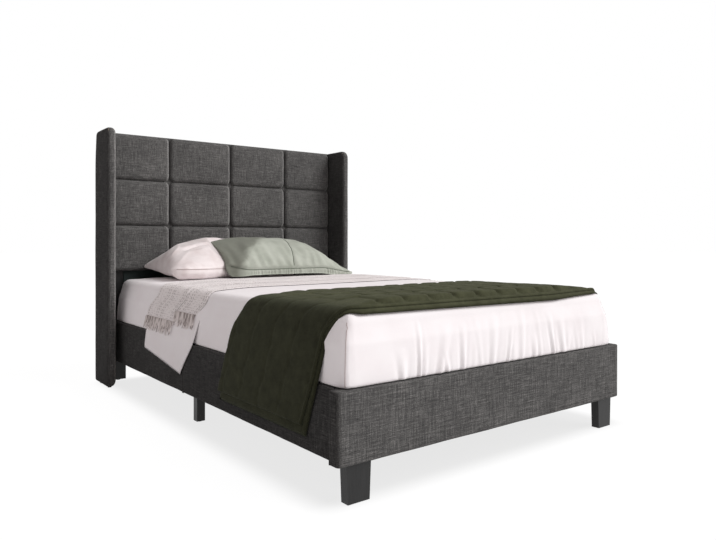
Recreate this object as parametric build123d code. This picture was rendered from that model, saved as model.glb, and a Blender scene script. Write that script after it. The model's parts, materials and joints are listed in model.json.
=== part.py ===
from build123d import *
import math
import os

# An upholstered platform bed with a tufted headboard between two wings, made up for the night.
# Millimetres, +Z up. The origin is on the floor, at the middle of the bed. The foot end points
# towards -Y and the headboard towards +Y.

# The mattress is the size that the bed is built round.
mattress_width = 1200.0
mattress_length = 1900.0
mattress_thickness = 250.0
mattress_corner_radius = 25.0
mattress_edge_radius = 38.0
mattress_fullness = 18.0
mattress_crown = 8.0
mattress_crown_inset = 192.0
mattress_crown_end_inset = 16.0
mattress_side_gap = 12.5
mattress_end_gap = 2.0
# Height up the mattress's side, and how far it swells over the rails there, as shares.
mattress_side_shares = ((0.165, 0.0), (0.180, 0.8), (0.260, 1.0), (0.620, 1.0), (0.744, 0.65), (0.816, 0.45))

# Heights above the floor.
glide_height = 3.0
rail_bottom = 109.0
rail_height = 199.0
mattress_recess = 39.0
headboard_gap = 33.0

# Rails: a board with foam and cloth over its outer face, top and bottom.
side_board = 24.5
foot_board = 36.0
rail_padding = 6.0
rail_hem = 3.0
rail_edge_radius = 5.0
foot_corner_radius = 14.0
foot_rail_overhang = 19.5
rail_seam_from_foot = 1071.0
seam_radius = 3.0

# Headboard, from the padded front to the cloth on its back.
tuft_width = 351.0
headboard_side_reach = 71.0
tuft_height = 232.0
tuft_rows = 3
headboard_padding_depth = 24.0
tuft_crown = 18.0
seam_groove = 5.0
headboard_board_thickness = 14.0
headboard_cloth = 2.0
post_width = 70.0
post_depth = 22.0
post_bracket_margin = 2.5
batten_height = 60.0
lower_batten_bottom = 190.0
lower_batten_height = 85.0
lower_board_thickness = 6.0
lower_board_lap = 13.0
back_cloth_thickness = 1.0
back_cloth_margin = 12.0

# Wings.
wing_thickness = 43.0
wing_depth = 205.0
wing_rise = 4.0
wing_padding = 8.0
wing_back_cloth = 2.0
wing_corner_radius = 30.0
wing_edge_radius = 18.0

# Legs under the foot rail, the middle of the side rails and the centre beam.
front_leg_width = 83.0
front_leg_foot_width = 73.6
front_leg_depth = 30.0
front_leg_inset = 37.0
front_leg_setback = 12.0
side_leg_size = 33.0
side_leg_before_seam = 30.0
centre_leg_size = 32.0
glide_radius = 9.0
wing_glide_spacing = 120.0

# Slats and what carries them.
slat_count = 12
slat_width = 75.0
slat_thickness = 12.0
slat_end_gap = 4.5
slat_margin = 8.0
ledge_width = 20.0
ledge_height = 30.0
ledge_end_gap = 8.0
strap_width = 25.0
strap_thickness = 1.2
strap_from_centre = 400.0

# Centre beam, a steel tube in two halves with a sleeve inside their joint.
beam_width = 25.0
beam_height = 50.0
beam_wall = 2.0
beam_joint_share = 0.52
sleeve_length = 240.0
sleeve_fit = 0.3
sleeve_wall = 1.8
hanger_plate = 2.5
hanger_depth = 40.0
hanger_flange = 22.0
hanger_fit = 0.3
hanger_drop = 7.0
centre_leg_share = 0.27

# Levelling feet.
foot_disc_radius = 20.0
foot_disc_height = 8.0
foot_stem_radius = 5.0
foot_stem_length = 40.0
foot_stem_fit = 0.3

# Steel brackets and fasteners.
bracket_plate = 3.0
bracket_leg = 45.0
bracket_reach = 40.0
bracket_bottom = 125.0
bracket_height = 90.0
joint_plate_length = 180.0
bolt_radius = 4.0
bolt_head_radius = 6.5
bolt_head_height = 5.0
bolt_length = 18.0
bolt_fit = 0.3
screw_radius = 1.8
screw_head_radius = 4.2
screw_head_height = 1.5
screw_length = 14.0
screw_fit = 0.2
wing_strap_plate = 2.5
wing_strap_height = 34.0
wing_strap_margin = 8.0
wing_strap_shares = (0.2, 0.8)

# Bedding. Soft pieces lie a little clear of each other.
soft_gap = 0.3
sheet_thickness = 1.2
sheet_hem_rise = 3.0
rail_clearance = 2.0

# Flat sheet whose corner hangs below the knitted throw. Places are from the foot rail's front face.
top_sheet_thickness = 1.4
top_sheet_front = 935.0
top_sheet_back = 1440.0
top_sheet_hem_front = 1072.0
top_sheet_hem_back = 1499.0
top_sheet_hem_low = 178.0
top_sheet_hem_high = 233.0
top_sheet_rail_front = 962.0
top_sheet_rail_back = 1470.0
top_sheet_right_hem = 330.0

# Knitted throw in two laps, with a fringe.
lace_thickness = 2.6
lace_front = 905.0
lace_back = 1400.0
lace_right_front = 955.0
lace_right_back = 1465.0
lace_fold = 1095.0
lace_fold_hang = 1180.0
lace_hem_front = 985.0
lace_hem_back = 1486.0
lace_front_hem = 415.0
lace_back_hem = 372.0
lace_right_hem = 362.0
fringe_length = 54.0
fringe_strand = 8.0
fringe_pitch = 14.0
fringe_overlap = 4.0
fringe_inset = 0.4

# Quilted throw across the foot end, folded double.
quilt_layer = 6.0
quilt_back = 562.0
quilt_right_back = 592.0
quilt_fold_step = 26.0
quilt_fold_rise = 30.0
quilt_hem = 150.0
quilt_right_hem = 428.0
quilt_border = 16.0
quilt_border_rise = 3.0
quilt_border_gap = 8.0
quilt_puff = 13.0
quilt_puff_gap = 4.0
quilt_rows = 4
quilt_columns = 11
# Down the left side: level, front edge and back edge of the hanging part.
quilt_hang = ((455.0, 84.0, 632.0), (431.0, 88.0, 652.0), (391.0, 89.0, 667.0), (310.0, 102.0, 672.0),
              (quilt_hem, 176.0, 733.0))
# Front edge from the top of the mattress's edge round to its side.
quilt_corner = (37.5, 45.0, 55.0, 63.0, 76.0)
quilt_corner_back = (quilt_back, 575.0, 590.0, 600.0, 618.0)

# White pillow, flat on the mattress and pressed down at its right half.
white_pillow_length = 700.0
white_pillow_width = 455.0
white_pillow_left = 486.0
white_pillow_head_gap = 8.0
white_pillow_rise = 129.0
white_pillow_belly = 55.0
pillow_seam = 5.0
# Along the pillow: place, front edge, seam height, and rise over the seam, as shares.
white_pillow_shares = (
    (0.000, 0.01, 0.86, 0.03),
    (0.050, 0.03, 0.96, 0.42),
    (0.130, 0.04, 1.00, 0.76),
    (0.230, 0.04, 1.00, 0.98),
    (0.335, 0.04, 1.00, 1.00),
    (0.380, 0.10, 0.85, 0.80),
    (0.430, 0.25, 0.42, 0.34),
    (0.620, 0.27, 0.40, 0.30),
    (0.850, 0.27, 0.40, 0.26),
    (0.970, 0.25, 0.40, 0.14),
    (1.000, 0.24, 0.40, 0.03),
)
pillow_sole_share = 0.30
pillow_back_share = 0.2
sole_down_share = 0.25

# Green pillow, leaning on the white one.
green_pillow_length = 715.0
green_pillow_width = 398.0
green_pillow_tilt = 26.0
green_pillow_left = 185.0
green_pillow_front = 1481.0
green_pillow_skew = 40.0
green_pillow_lift = 2.3
green_pillow_rise = 105.0
green_pillow_belly = 22.0
# Along the pillow: place, how far its edges are drawn in, rise and belly, as shares.
green_pillow_shares = (
    (0.00, 0.000, 0.03, 0.03),
    (0.04, 0.015, 0.36, 0.30),
    (0.12, 0.030, 0.70, 0.65),
    (0.28, 0.040, 0.95, 0.95),
    (0.50, 0.045, 1.00, 1.00),
    (0.72, 0.050, 0.80, 0.95),
    (0.88, 0.050, 0.46, 0.65),
    (0.96, 0.025, 0.24, 0.30),
    (1.00, 0.000, 0.03, 0.03),
)

# Widths from the middle of the bed outwards.
mattress_half = mattress_width / 2
rail_inner = mattress_half + mattress_side_gap
rail_outer = rail_inner + side_board + rail_padding
foot_half = rail_outer + foot_rail_overhang
post_inner_half = rail_inner - bracket_reach - post_bracket_margin
post_outer = post_inner_half + post_width
headboard_half = mattress_half + headboard_side_reach
wing_outer = headboard_half + wing_thickness

# Places along the bed, from the foot rail's front face to the back.
foot_rail_depth = foot_board + rail_padding
headboard_depth = headboard_padding_depth + headboard_board_thickness + post_depth
bed_length = (foot_rail_depth + mattress_end_gap + mattress_length + mattress_end_gap
              + headboard_depth + wing_strap_plate + screw_head_height)
foot_face = -bed_length / 2
foot_inner = foot_face + foot_rail_depth
mattress_foot = foot_inner + mattress_end_gap
mattress_head = mattress_foot + mattress_length
pad_front = mattress_head + mattress_end_gap
board_front = pad_front + headboard_padding_depth
post_front = board_front + headboard_board_thickness
frame_back = post_front + post_depth
rail_seam = foot_face + rail_seam_from_foot
wing_front = frame_back - wing_depth

# Levels above the floor.
rail_top = rail_bottom + rail_height
slat_top = rail_top - mattress_recess
ledge_top = slat_top - slat_thickness
mattress_top = slat_top + mattress_thickness
pad_bottom = mattress_top + headboard_gap
pad_top = pad_bottom + tuft_rows * tuft_height
wing_top = pad_top + wing_rise
beam_bottom = ledge_top - beam_height


def block(x, y, z):
    """A box between two values on each axis."""
    size = [high - low for low, high in (x, y, z)]
    middle = [(high + low) / 2 for low, high in (x, y, z)]
    return Pos(*middle) * Box(*size)


def both(part):
    """A piece and its mirror image on the other side of the bed."""
    return part, mirror(part, about=Plane.YZ)


def cut(part, tools):
    """A piece with every tool taken from it."""
    for tool in tools:
        part = part - tool
    return part


def joined(parts):
    """Pieces that touch, as one solid."""
    whole = parts[0]
    for part in parts[1:]:
        whole = whole + part
    return whole


def bolt(at, towards):
    """A hexagon bolt whose head seats on the point."""
    plane = Plane(at, z_dir=towards)
    head = extrude(plane * RegularPolygon(bolt_head_radius, 6), bolt_head_height)
    shank = extrude(plane * Circle(bolt_radius), -bolt_length)
    return head + shank


def bolt_hole(at, towards):
    """The hole that takes a bolt, longer than its shank."""
    plane = Plane(at, z_dir=towards)
    return extrude(plane * Circle(bolt_radius + bolt_fit), -(bolt_length + bolt_fit))


def screw(at, towards):
    """A pan-head screw whose head seats on the point."""
    plane = Plane(at, z_dir=towards)
    head = extrude(plane * Circle(screw_head_radius), screw_head_height)
    shank = extrude(plane * Circle(screw_radius), -screw_length)
    return head + shank


def screw_hole(at, towards):
    """The hole that takes a screw."""
    plane = Plane(at, z_dir=towards)
    return extrude(plane * Circle(screw_radius + screw_fit), -(screw_length + screw_fit))


bracket_levels = (bracket_bottom + bracket_height / 4, bracket_bottom + bracket_height * 3 / 4)


def bracket_bolts(end, inward):
    """Bolts of the right-hand angle bracket at one end of the side rail: two into each leg."""
    rail_y = end + inward * bracket_leg * 2 / 3
    end_x = rail_inner - bracket_reach * 2 / 3
    points = []
    for z in bracket_levels:
        points.append(((rail_inner - bracket_plate, rail_y, z), (-1, 0, 0)))
        points.append(((end_x, end + inward * bracket_plate, z), (0, inward, 0)))
    return points


def joint_bolts():
    """Bolts of the right-hand plate over the side rail's joint."""
    points = []
    for step in (-1, 1):
        for z in bracket_levels:
            y = rail_seam + step * (joint_plate_length / 2 - 2 * bolt_head_radius)
            points.append(((rail_inner - bracket_plate, y, z), (-1, 0, 0)))
    return points


def mirrored(points):
    """The same fasteners on the left."""
    return [((-x, y, z), (-a, b, c)) for (x, y, z), (a, b, c) in points]


right_bolts = bracket_bolts(foot_inner, 1) + bracket_bolts(post_front, -1) + joint_bolts()
all_bolts = right_bolts + mirrored(right_bolts)
bolt_holes = [bolt_hole(*spot) for spot in all_bolts]

strap_half = wing_thickness / 2
strap_levels = [pad_bottom + share * (pad_top - pad_bottom) for share in wing_strap_shares]


def wing_screws():
    """Screws of the right-hand straps that hold the wing: one in the frame and one in the wing."""
    points = []
    for z in strap_levels:
        for x in (headboard_half - strap_half / 2 - headboard_cloth, headboard_half + strap_half):
            points.append(((x, frame_back + wing_strap_plate, z), (0, 1, 0)))
    return points


def hanger_screws():
    """Screws that hold the two beam hangers."""
    points = []
    z = beam_bottom + beam_height / 2
    x = beam_width / 2 + hanger_plate + hanger_flange / 2
    for side in (-1, 1):
        points.append(((side * x, foot_inner + hanger_plate, z), (0, 1, 0)))
        points.append(((side * x, post_front - hanger_plate, z), (0, -1, 0)))
    return points


all_screws = wing_screws() + mirrored(wing_screws()) + hanger_screws()
screw_holes = [screw_hole(*spot) for spot in all_screws]


# Headboard.

def tuft(x0, x1, z0, z1):
    """One padded square: its sides rise steeply from the seams and its face is crowned."""
    width = x1 - x0
    height = z1 - z0
    # How far in from the seam, and how far out from the slab, each ring of the crown lies.
    ring_shares = ((0.000, 0.00), (0.012, 0.42), (0.040, 0.70), (0.110, 0.88), (0.240, 0.97), (0.380, 1.00))
    slab_front = board_front - headboard_padding_depth + tuft_crown
    sections = []
    for inset_share, rise_share in ring_shares:
        inset = seam_groove / 2 + inset_share * height
        radius = seam_groove * (1 + inset_share * tuft_rows)
        y = slab_front - rise_share * tuft_crown
        plane = Plane(((x0 + x1) / 2, y, (z0 + z1) / 2), x_dir=(1, 0, 0), z_dir=(0, -1, 0))
        sections.append(plane * RectangleRounded(width - 2 * inset, height - 2 * inset, radius))
    return loft(sections, ruled=True)


def headboard_padding():
    """Foam and cloth: a slab with twelve sewn squares, its cloth turned round the frame's edges."""
    slab_front = board_front - headboard_padding_depth + tuft_crown
    slab = block((-headboard_half, headboard_half), (slab_front, board_front), (pad_bottom, pad_top))
    turned = block((-headboard_half, headboard_half), (board_front, frame_back), (pad_bottom, pad_top))
    inner_half = headboard_half - headboard_cloth
    turned -= block((-inner_half, inner_half), (board_front, frame_back),
                    (pad_bottom + headboard_cloth, pad_top - headboard_cloth))
    turned -= block((-headboard_half, headboard_half), (post_front, frame_back),
                    (pad_bottom, pad_bottom + headboard_cloth))
    columns = (-headboard_half, -tuft_width, 0, tuft_width, headboard_half)
    tufts = []
    for left, right in zip(columns, columns[1:]):
        for row in range(tuft_rows):
            low = pad_bottom + row * tuft_height
            tufts.append(tuft(left, right, low, low + tuft_height))
    return joined([slab, turned] + tufts)


def headboard_board():
    """The board behind the foam."""
    half = headboard_half - headboard_cloth
    return block((-half, half), (board_front, post_front),
                 (pad_bottom + headboard_cloth, pad_top - headboard_cloth))


def headboard_post():
    """The right-hand post, which runs from the floor to the headboard's top."""
    post = block((post_inner_half, post_outer), (post_front, frame_back),
                 (glide_height, pad_top - headboard_cloth))
    return cut(post, bolt_holes)


def headboard_battens():
    """Cross battens between the posts, and the stiles that the wings are fixed to."""
    top = pad_top - headboard_cloth
    bottom = pad_bottom + headboard_cloth
    between = (-post_inner_half, post_inner_half)
    depth = (post_front, frame_back)
    battens = [block(between, depth, (top - batten_height, top))]
    battens.append(block(between, depth, (bottom, bottom + batten_height)))
    battens.append(block(between, depth, (lower_batten_bottom, lower_batten_bottom + lower_batten_height)))
    stile = block((post_outer, headboard_half - headboard_cloth), depth, (bottom, top))
    battens.extend(both(stile))
    return Compound([cut(batten, screw_holes) for batten in battens])


def headboard_lower_board():
    """The dark board that closes the gap below the padding."""
    half = post_inner_half + lower_board_lap
    low = lower_batten_bottom + lower_batten_height - lower_board_lap
    return block((-half, half), (post_front - lower_board_thickness, post_front), (low, pad_bottom))


def headboard_back_cloth():
    """The thin cloth stapled over the open back of the headboard."""
    half = post_outer - back_cloth_margin
    return block((-half, half), (frame_back, frame_back + back_cloth_thickness),
                 (pad_bottom + back_cloth_margin, pad_top - back_cloth_margin))


# Wings.

def wing_outline(inset):
    """The right-hand wing's shape without a margin all round."""
    body = block((headboard_half + inset, wing_outer - inset), (wing_front + inset, frame_back - inset),
                 (glide_height + inset, wing_top - inset))
    radius = wing_corner_radius - inset
    front = body.edges().filter_by(Axis.X).group_by(Axis.Y)[0]
    return fillet(front, radius)


def wing_core():
    """The board inside the wing."""
    back = frame_back - wing_back_cloth
    body = block((headboard_half + wing_padding, wing_outer - wing_padding),
                 (wing_front + wing_padding, back),
                 (glide_height + wing_padding, wing_top - wing_padding))
    front = body.edges().filter_by(Axis.X).group_by(Axis.Y)[0]
    body = fillet(front, wing_corner_radius - wing_padding)
    return body


def wing_cover():
    """Foam and cloth round the wing's board, rounded along the front edge, top and bottom."""
    body = wing_outline(0)
    rim = []
    for edge in body.edges():
        middle = edge.center()
        if middle.Y < frame_back - wing_corner_radius / 2:
            rim.append(edge)
        elif abs(middle.Z - wing_top) < seam_groove and edge.length > wing_thickness * 2:
            rim.append(edge)
    rim = [edge for edge in rim if abs(edge.tangent_at(0).X) < 0.5]
    rounded = fillet(rim, wing_edge_radius)
    return cut(rounded - wing_core(), screw_holes)


def wing_brackets():
    """Steel straps across the back, from the headboard's frame to the wings."""
    straps = []
    for z in strap_levels:
        strap = block((headboard_half - strap_half - headboard_cloth, wing_outer - wing_strap_margin),
                      (frame_back, frame_back + wing_strap_plate),
                      (z - wing_strap_height / 2, z + wing_strap_height / 2))
        straps.extend(both(strap))
    return Compound([cut(strap, screw_holes) for strap in straps])


# Rails.

def side_rail_core():
    """The right-hand rail board, in two halves that meet at the joint."""
    halves = []
    for start, end in ((foot_inner, rail_seam), (rail_seam, post_front)):
        halves.append(block((rail_inner, rail_inner + side_board), (start, end),
                            (rail_bottom + rail_hem, rail_top - rail_padding)))
    return Compound([cut(half, bolt_holes) for half in halves])


def side_rail_cover(start, end, seam_at_end):
    """Foam and cloth over one half of the right-hand rail: outer face, top and bottom."""
    body = block((rail_inner, rail_outer), (start, end), (rail_bottom, rail_top))
    outer = body.edges().filter_by(Axis.Y).group_by(Axis.X)[-1]
    body = fillet(outer, rail_edge_radius)
    seam = body.faces().sort_by(Axis.Y)[-1 if seam_at_end else 0]
    rim = [edge for edge in seam.edges() if edge.center().X > rail_inner + seam_radius]
    body = fillet(rim, seam_radius)
    core = block((rail_inner, rail_inner + side_board), (start, end),
                 (rail_bottom + rail_hem, rail_top - rail_padding))
    return body - core


def foot_rail_core():
    """The board inside the foot rail."""
    half = foot_half - rail_padding
    board = block((-half, half), (foot_face + rail_padding, foot_inner),
                  (rail_bottom + rail_hem, rail_top - rail_padding))
    return cut(board, bolt_holes + screw_holes)


def foot_rail_cover():
    """Foam and cloth over the foot rail, with soft corners at its ends."""
    body = block((-foot_half, foot_half), (foot_face, foot_inner), (rail_bottom, rail_top))
    body = fillet(body.edges().filter_by(Axis.Z).group_by(Axis.Y)[0], foot_corner_radius)
    rim = body.faces().sort_by(Axis.Z)[-1].edges() + body.faces().sort_by(Axis.Z)[0].edges()
    rim = [edge for edge in rim if edge.center().Y < foot_inner - seam_radius]
    body = fillet(rim, rail_edge_radius)
    half = foot_half - rail_padding
    core = block((-half, half), (foot_face + rail_padding, foot_inner),
                 (rail_bottom + rail_hem, rail_top - rail_padding))
    return body - core


def slat_ledge():
    """The batten along the inside of the right-hand rail that the slats lie on."""
    along = (foot_inner + ledge_end_gap, post_front - ledge_end_gap)
    return block((rail_inner - ledge_width, rail_inner), along, (ledge_top - ledge_height, ledge_top))


def rail_joint_plates():
    """Steel plates inside the rails, over the joint of their halves."""
    plate = block((rail_inner - bracket_plate, rail_inner),
                  (rail_seam - joint_plate_length / 2, rail_seam + joint_plate_length / 2),
                  (bracket_bottom, bracket_bottom + bracket_height))
    return Compound(list(both(cut(plate, bolt_holes))))


def angle_brackets(end, inward):
    """The pair of angle brackets in the corners at one end of the side rails."""
    levels = (bracket_bottom, bracket_bottom + bracket_height)
    leg_span = sorted((end, end + inward * bracket_leg))
    plate_span = sorted((end, end + inward * bracket_plate))
    along = block((rail_inner - bracket_plate, rail_inner), leg_span, levels)
    across = block((rail_inner - bracket_reach, rail_inner), plate_span, levels)
    return Compound(list(both(cut(along + across, bolt_holes))))


# Legs.

front_leg_x = foot_half - front_leg_inset - front_leg_width / 2
front_leg_y = foot_face + front_leg_setback + front_leg_depth / 2


def front_leg():
    """The right-hand leg under the foot rail, narrower at the floor."""
    top = Plane((front_leg_x, front_leg_y, rail_bottom)) * Rectangle(front_leg_width, front_leg_depth)
    bottom = Plane((front_leg_x, front_leg_y, glide_height)) * Rectangle(front_leg_foot_width, front_leg_depth)
    return loft([bottom, top], ruled=True)


side_leg_y = rail_seam - side_leg_before_seam - side_leg_size
side_leg_x = rail_inner - bracket_plate


def side_leg():
    """The right-hand leg inside the rail, screwed flat to the joint plate."""
    return block((side_leg_x - side_leg_size, side_leg_x), (side_leg_y, side_leg_y + side_leg_size),
                 (glide_height, ledge_top - ledge_height))


def floor_glides():
    """Plastic glides under every foot that doesn't level."""
    spots = [(front_leg_x, front_leg_y)]
    spots.append((side_leg_x - side_leg_size / 2, side_leg_y + side_leg_size / 2))
    spots.append(((post_inner_half + post_outer) / 2, (post_front + frame_back) / 2))
    wing_middle = (wing_front + frame_back) / 2
    for step in (-1, 1):
        spots.append((headboard_half + wing_thickness / 2, wing_middle + step * wing_glide_spacing / 2))
    glides = []
    for x, y in spots:
        glides.extend(both(extrude(Pos(x, y) * Circle(glide_radius), glide_height)))
    return Compound(glides)


# Centre beam and its legs.

beam_front_end = foot_inner + hanger_plate
beam_back_end = post_front - hanger_plate
beam_joint = beam_front_end + beam_joint_share * (beam_back_end - beam_front_end)


def beam(start, end):
    """One half of the centre beam, a steel tube."""
    half = beam_width / 2
    inner = half - beam_wall
    tube = block((-half, half), (start, end), (beam_bottom, ledge_top))
    return tube - block((-inner, inner), (start, end), (beam_bottom + beam_wall, ledge_top - beam_wall))


def beam_sleeve():
    """The sleeve inside the beam's joint."""
    half = beam_width / 2 - beam_wall - sleeve_fit
    low = beam_bottom + beam_wall
    high = ledge_top - beam_wall - sleeve_fit
    span = (beam_joint - sleeve_length / 2, beam_joint + sleeve_length / 2)
    tube = block((-half, half), span, (low, high))
    inner = half - sleeve_wall
    return tube - block((-inner, inner), span, (low + sleeve_wall, high - sleeve_wall))


def beam_hanger(end, inward):
    """A steel cradle on the frame that one end of the beam drops into."""
    half = beam_width / 2 + hanger_fit
    wall = half + hanger_plate
    y_plate = sorted((end, end + inward * hanger_plate))
    y_cradle = sorted((end, end + inward * hanger_depth))
    low = beam_bottom - hanger_plate
    high = ledge_top - hanger_drop
    plate = block((-wall - hanger_flange, wall + hanger_flange), y_plate, (low, high))
    cradle = block((-wall, wall), y_cradle, (low, high))
    cradle -= block((-half, half), sorted((end + inward * hanger_plate, end + inward * hanger_depth)),
                    (beam_bottom, high))
    return cut(plate + cradle, screw_holes)


def centre_leg_y(front):
    """Where a centre leg stands along the bed."""
    share = centre_leg_share if front else 1 - centre_leg_share
    return beam_front_end + share * (beam_back_end - beam_front_end)


def centre_leg(front):
    """A leg under the beam, bored for its levelling foot."""
    y = centre_leg_y(front)
    half = centre_leg_size / 2
    leg = block((-half, half), (y - half, y + half), (foot_disc_height + soft_gap, beam_bottom))
    bore = Plane((0, y, foot_disc_height)) * Circle(foot_stem_radius + foot_stem_fit)
    return leg - extrude(bore, foot_stem_length + foot_stem_fit)


def levelling_foot(front):
    """A disc on a threaded stem that screws out of the centre leg."""
    y = centre_leg_y(front)
    disc = extrude(Plane((0, y, 0)) * Circle(foot_disc_radius), foot_disc_height)
    stem = extrude(Plane((0, y, foot_disc_height)) * Circle(foot_stem_radius), foot_stem_length)
    return disc + stem


# Slats.

slat_first = foot_inner + slat_margin
slat_last = post_front - lower_board_thickness - slat_margin
slat_pitch = (slat_last - slat_first - slat_width) / (slat_count - 1)


def slat(number):
    """One slat, lying across the ledges and the beam."""
    half = rail_inner - slat_end_gap
    front = slat_first + number * slat_pitch
    return block((-half, half), (front, front + slat_width), (ledge_top, slat_top))


def slat_straps():
    """Two webbing straps stapled under the slats to keep them apart."""
    strap = block((strap_from_centre - strap_width / 2, strap_from_centre + strap_width / 2),
                  (slat_first, slat_last), (ledge_top - strap_thickness, ledge_top))
    return Compound(list(both(strap)))


# Mattress. Its top edges are rounded in flats, which every cloth laid over them repeats.

roll_steps = 4
roll_angles = [math.radians(90 * step / roll_steps) for step in range(roll_steps + 1)]
crown_shares = (0.5, 1.0)
edge_top = mattress_top - mattress_crown
roll_centre_z = edge_top - mattress_edge_radius
roll_half = mattress_half + mattress_side_shares[-1][1] * mattress_fullness
roll_centre_x = roll_half - mattress_edge_radius


def crown_rise(share):
    """The crown's height at a share of the way in from its foot."""
    return mattress_crown * (1 - (1 - share) ** 2)


def ring(side, foot, head, z, radius):
    """A level outline of the mattress, moved out from its sides, foot end and head end."""
    centre = (0, (mattress_foot - foot + mattress_head + head) / 2, z)
    return Plane(centre) * RectangleRounded(mattress_width + 2 * side, mattress_length + foot + head, radius)


def soft_block(grow, bottom):
    """The mattress's form, grown all round: full sides, rounded top edges and a slight crown."""
    radius = mattress_corner_radius + grow
    rings = [ring(grow, grow, grow, bottom, radius)]
    for height_share, full_share in mattress_side_shares[:-1]:
        out = grow + full_share * mattress_fullness
        rings.append(ring(out, out, grow, slat_top + height_share * mattress_thickness, radius))
    full = roll_half - mattress_half
    for angle in roll_angles:
        inset = mattress_edge_radius * (1 - math.cos(angle)) - grow * math.cos(angle)
        z = roll_centre_z + (mattress_edge_radius + grow) * math.sin(angle)
        rings.append(ring(full - inset, full - inset, -inset, z, radius - inset / 2))
    for share in crown_shares:
        side = full - mattress_edge_radius - share * mattress_crown_inset
        end = mattress_edge_radius + share * mattress_crown_end_inset
        z = edge_top + grow + crown_rise(share)
        rings.append(ring(side, full - end, -end, z, radius - mattress_edge_radius / 2))
    return loft(rings, ruled=True)


def mattress():
    """The mattress."""
    return soft_block(0, slat_top)


def fitted_sheet():
    """The fitted sheet over the mattress's top and sides."""
    hem = slat_top + sheet_hem_rise
    return soft_block(soft_gap + sheet_thickness, hem) - soft_block(soft_gap, hem)


# Cloths laid over the mattress.

sheet_top = mattress_top + soft_gap + sheet_thickness


def edge_line(clear, side, levels):
    """A cloth's inner line from the mattress's crown over one long edge and down.

    Each point has its place across the bed, its height and the way that the cloth faces.
    """
    clear += soft_gap + sheet_thickness + soft_gap
    radius = mattress_edge_radius + clear
    points = []
    for share in reversed(crown_shares):
        x = roll_centre_x - share * mattress_crown_inset
        points.append((side * x, edge_top + clear + crown_rise(share), 0, 1))
    for angle in reversed(roll_angles):
        x = roll_centre_x + radius * math.cos(angle)
        z = roll_centre_z + radius * math.sin(angle)
        points.append((side * x, z, side * math.cos(angle), math.sin(angle)))
    shoulder = rail_top + rail_clearance
    for level in levels:
        share = min(1, (roll_centre_z - level) / (roll_centre_z - shoulder))
        out = share * (rail_outer + rail_clearance - roll_half)
        points.append((side * (roll_half + clear + out), level, side, 0))
    return points


flat_profile = ((0, 0, mattress_crown), (None, 0, mattress_crown))


def cloth(sections, thickness, profile=flat_profile):
    """A cloth lofted through its cross lines.

    Each cross line has its inner point, its front and back edges, how much higher its back is
    than its front, and its shares of the drop over the foot end and of the crown. Each step of
    the profile has its distance from the front edge, or none at the back edge, and the drop and
    the crown there.
    """
    outlines = []
    for (x, z, across, up), front, back, rise, roll_share, crown_share in sections:
        inner = []
        for offset, drop, crown in profile:
            y = back if offset is None else front + offset
            down = roll_share * drop + max(0, crown_share * mattress_crown - crown)
            level = z - up * down + rise * (y - front) / (back - front)
            inner.append((x - across * down, foot_face + y, level))
        outer = [(px + across * thickness, py, pz + up * thickness) for px, py, pz in inner]
        outlines.append(make_face(Polyline(*inner, *reversed(outer), close=True)))
    return loft(outlines, ruled=True)


def sections_of(left, right, edges):
    """Cross lines from the left hem to the right one: their points and edges."""
    points = left[::-1] + right
    return [(point, *edge) for point, edge in zip(points, edges)]


shoulder_level = rail_top + rail_clearance


def foot_profile(clear):
    """A cloth's form over the mattress's foot end: its place, its drop and the crown there."""
    radius = mattress_edge_radius + soft_gap + sheet_thickness + soft_gap + clear
    top = mattress_foot - foot_face - (roll_half - mattress_half) + mattress_edge_radius
    steps = []
    for angle in roll_angles[1:-1]:
        steps.append((top - radius * math.cos(angle), radius * (1 - math.sin(angle)), 0))
    # The cloth bridges the foot of the crown's slope.
    steps.append((top, 0, crown_rise(crown_shares[0])))
    steps.append((top + mattress_crown_end_inset / 2, 0, mattress_crown))
    return steps


def profile_between(clear, start, end):
    """The part of the foot profile between two places, or to the back edge."""
    steps = foot_profile(clear)
    part = []
    for (near, near_drop, near_crown), (far, far_drop, far_crown) in zip(steps, steps[1:]):
        for place in (start, end):
            if place is not None and near <= place < far:
                share = (place - near) / (far - near)
                drop = near_drop + share * (far_drop - near_drop)
                part.append((place - start, drop, near_crown + share * (far_crown - near_crown)))
        if far > start and (end is None or far < end):
            part.append((far - start, far_drop, far_crown))
    part.sort()
    if end is None:
        part.append((None, 0, mattress_crown))
    return part


def quilt_sections(clear, step, lift):
    """Cross lines of one layer of the quilted throw."""
    hang = [(level, front, back) for level, front, back in quilt_hang]
    hang[-1] = (quilt_hem + lift, hang[-1][1], hang[-1][2])
    left = edge_line(clear, -1, [level for level, front, back in hang])
    right = edge_line(clear, 1, (quilt_right_hem,))
    edges = [(front + step, back, 0, 0, 0) for level, front, back in reversed(hang)]
    # The share of the drop over the foot end, from the side round to the top.
    roll_shares = (0.0, 0.0, 0.0, 0.0, 0.85)
    for front, back, roll_share in zip(reversed(quilt_corner), reversed(quilt_corner_back), roll_shares):
        edges.append((front + step, back, 0, roll_share, 0))
    top_front = quilt_corner[0] + step
    # The share of the crown that each line across the top has, from the edge inwards.
    rise_shares = [crown_rise(share) / mattress_crown for share in crown_shares]
    edges += [(top_front, quilt_back, 0, 1, share) for share in rise_shares]
    edges += [(top_front, quilt_right_back, 0, 1, share) for share in reversed(rise_shares)]
    for front, roll_share in zip(quilt_corner, reversed(roll_shares)):
        edges.append((front + step, quilt_right_back, 0, roll_share, 0))
    edges.append((quilt_corner[-1] + step, quilt_right_back, 0, 0, 0))
    return sections_of(left, right, edges)


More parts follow.
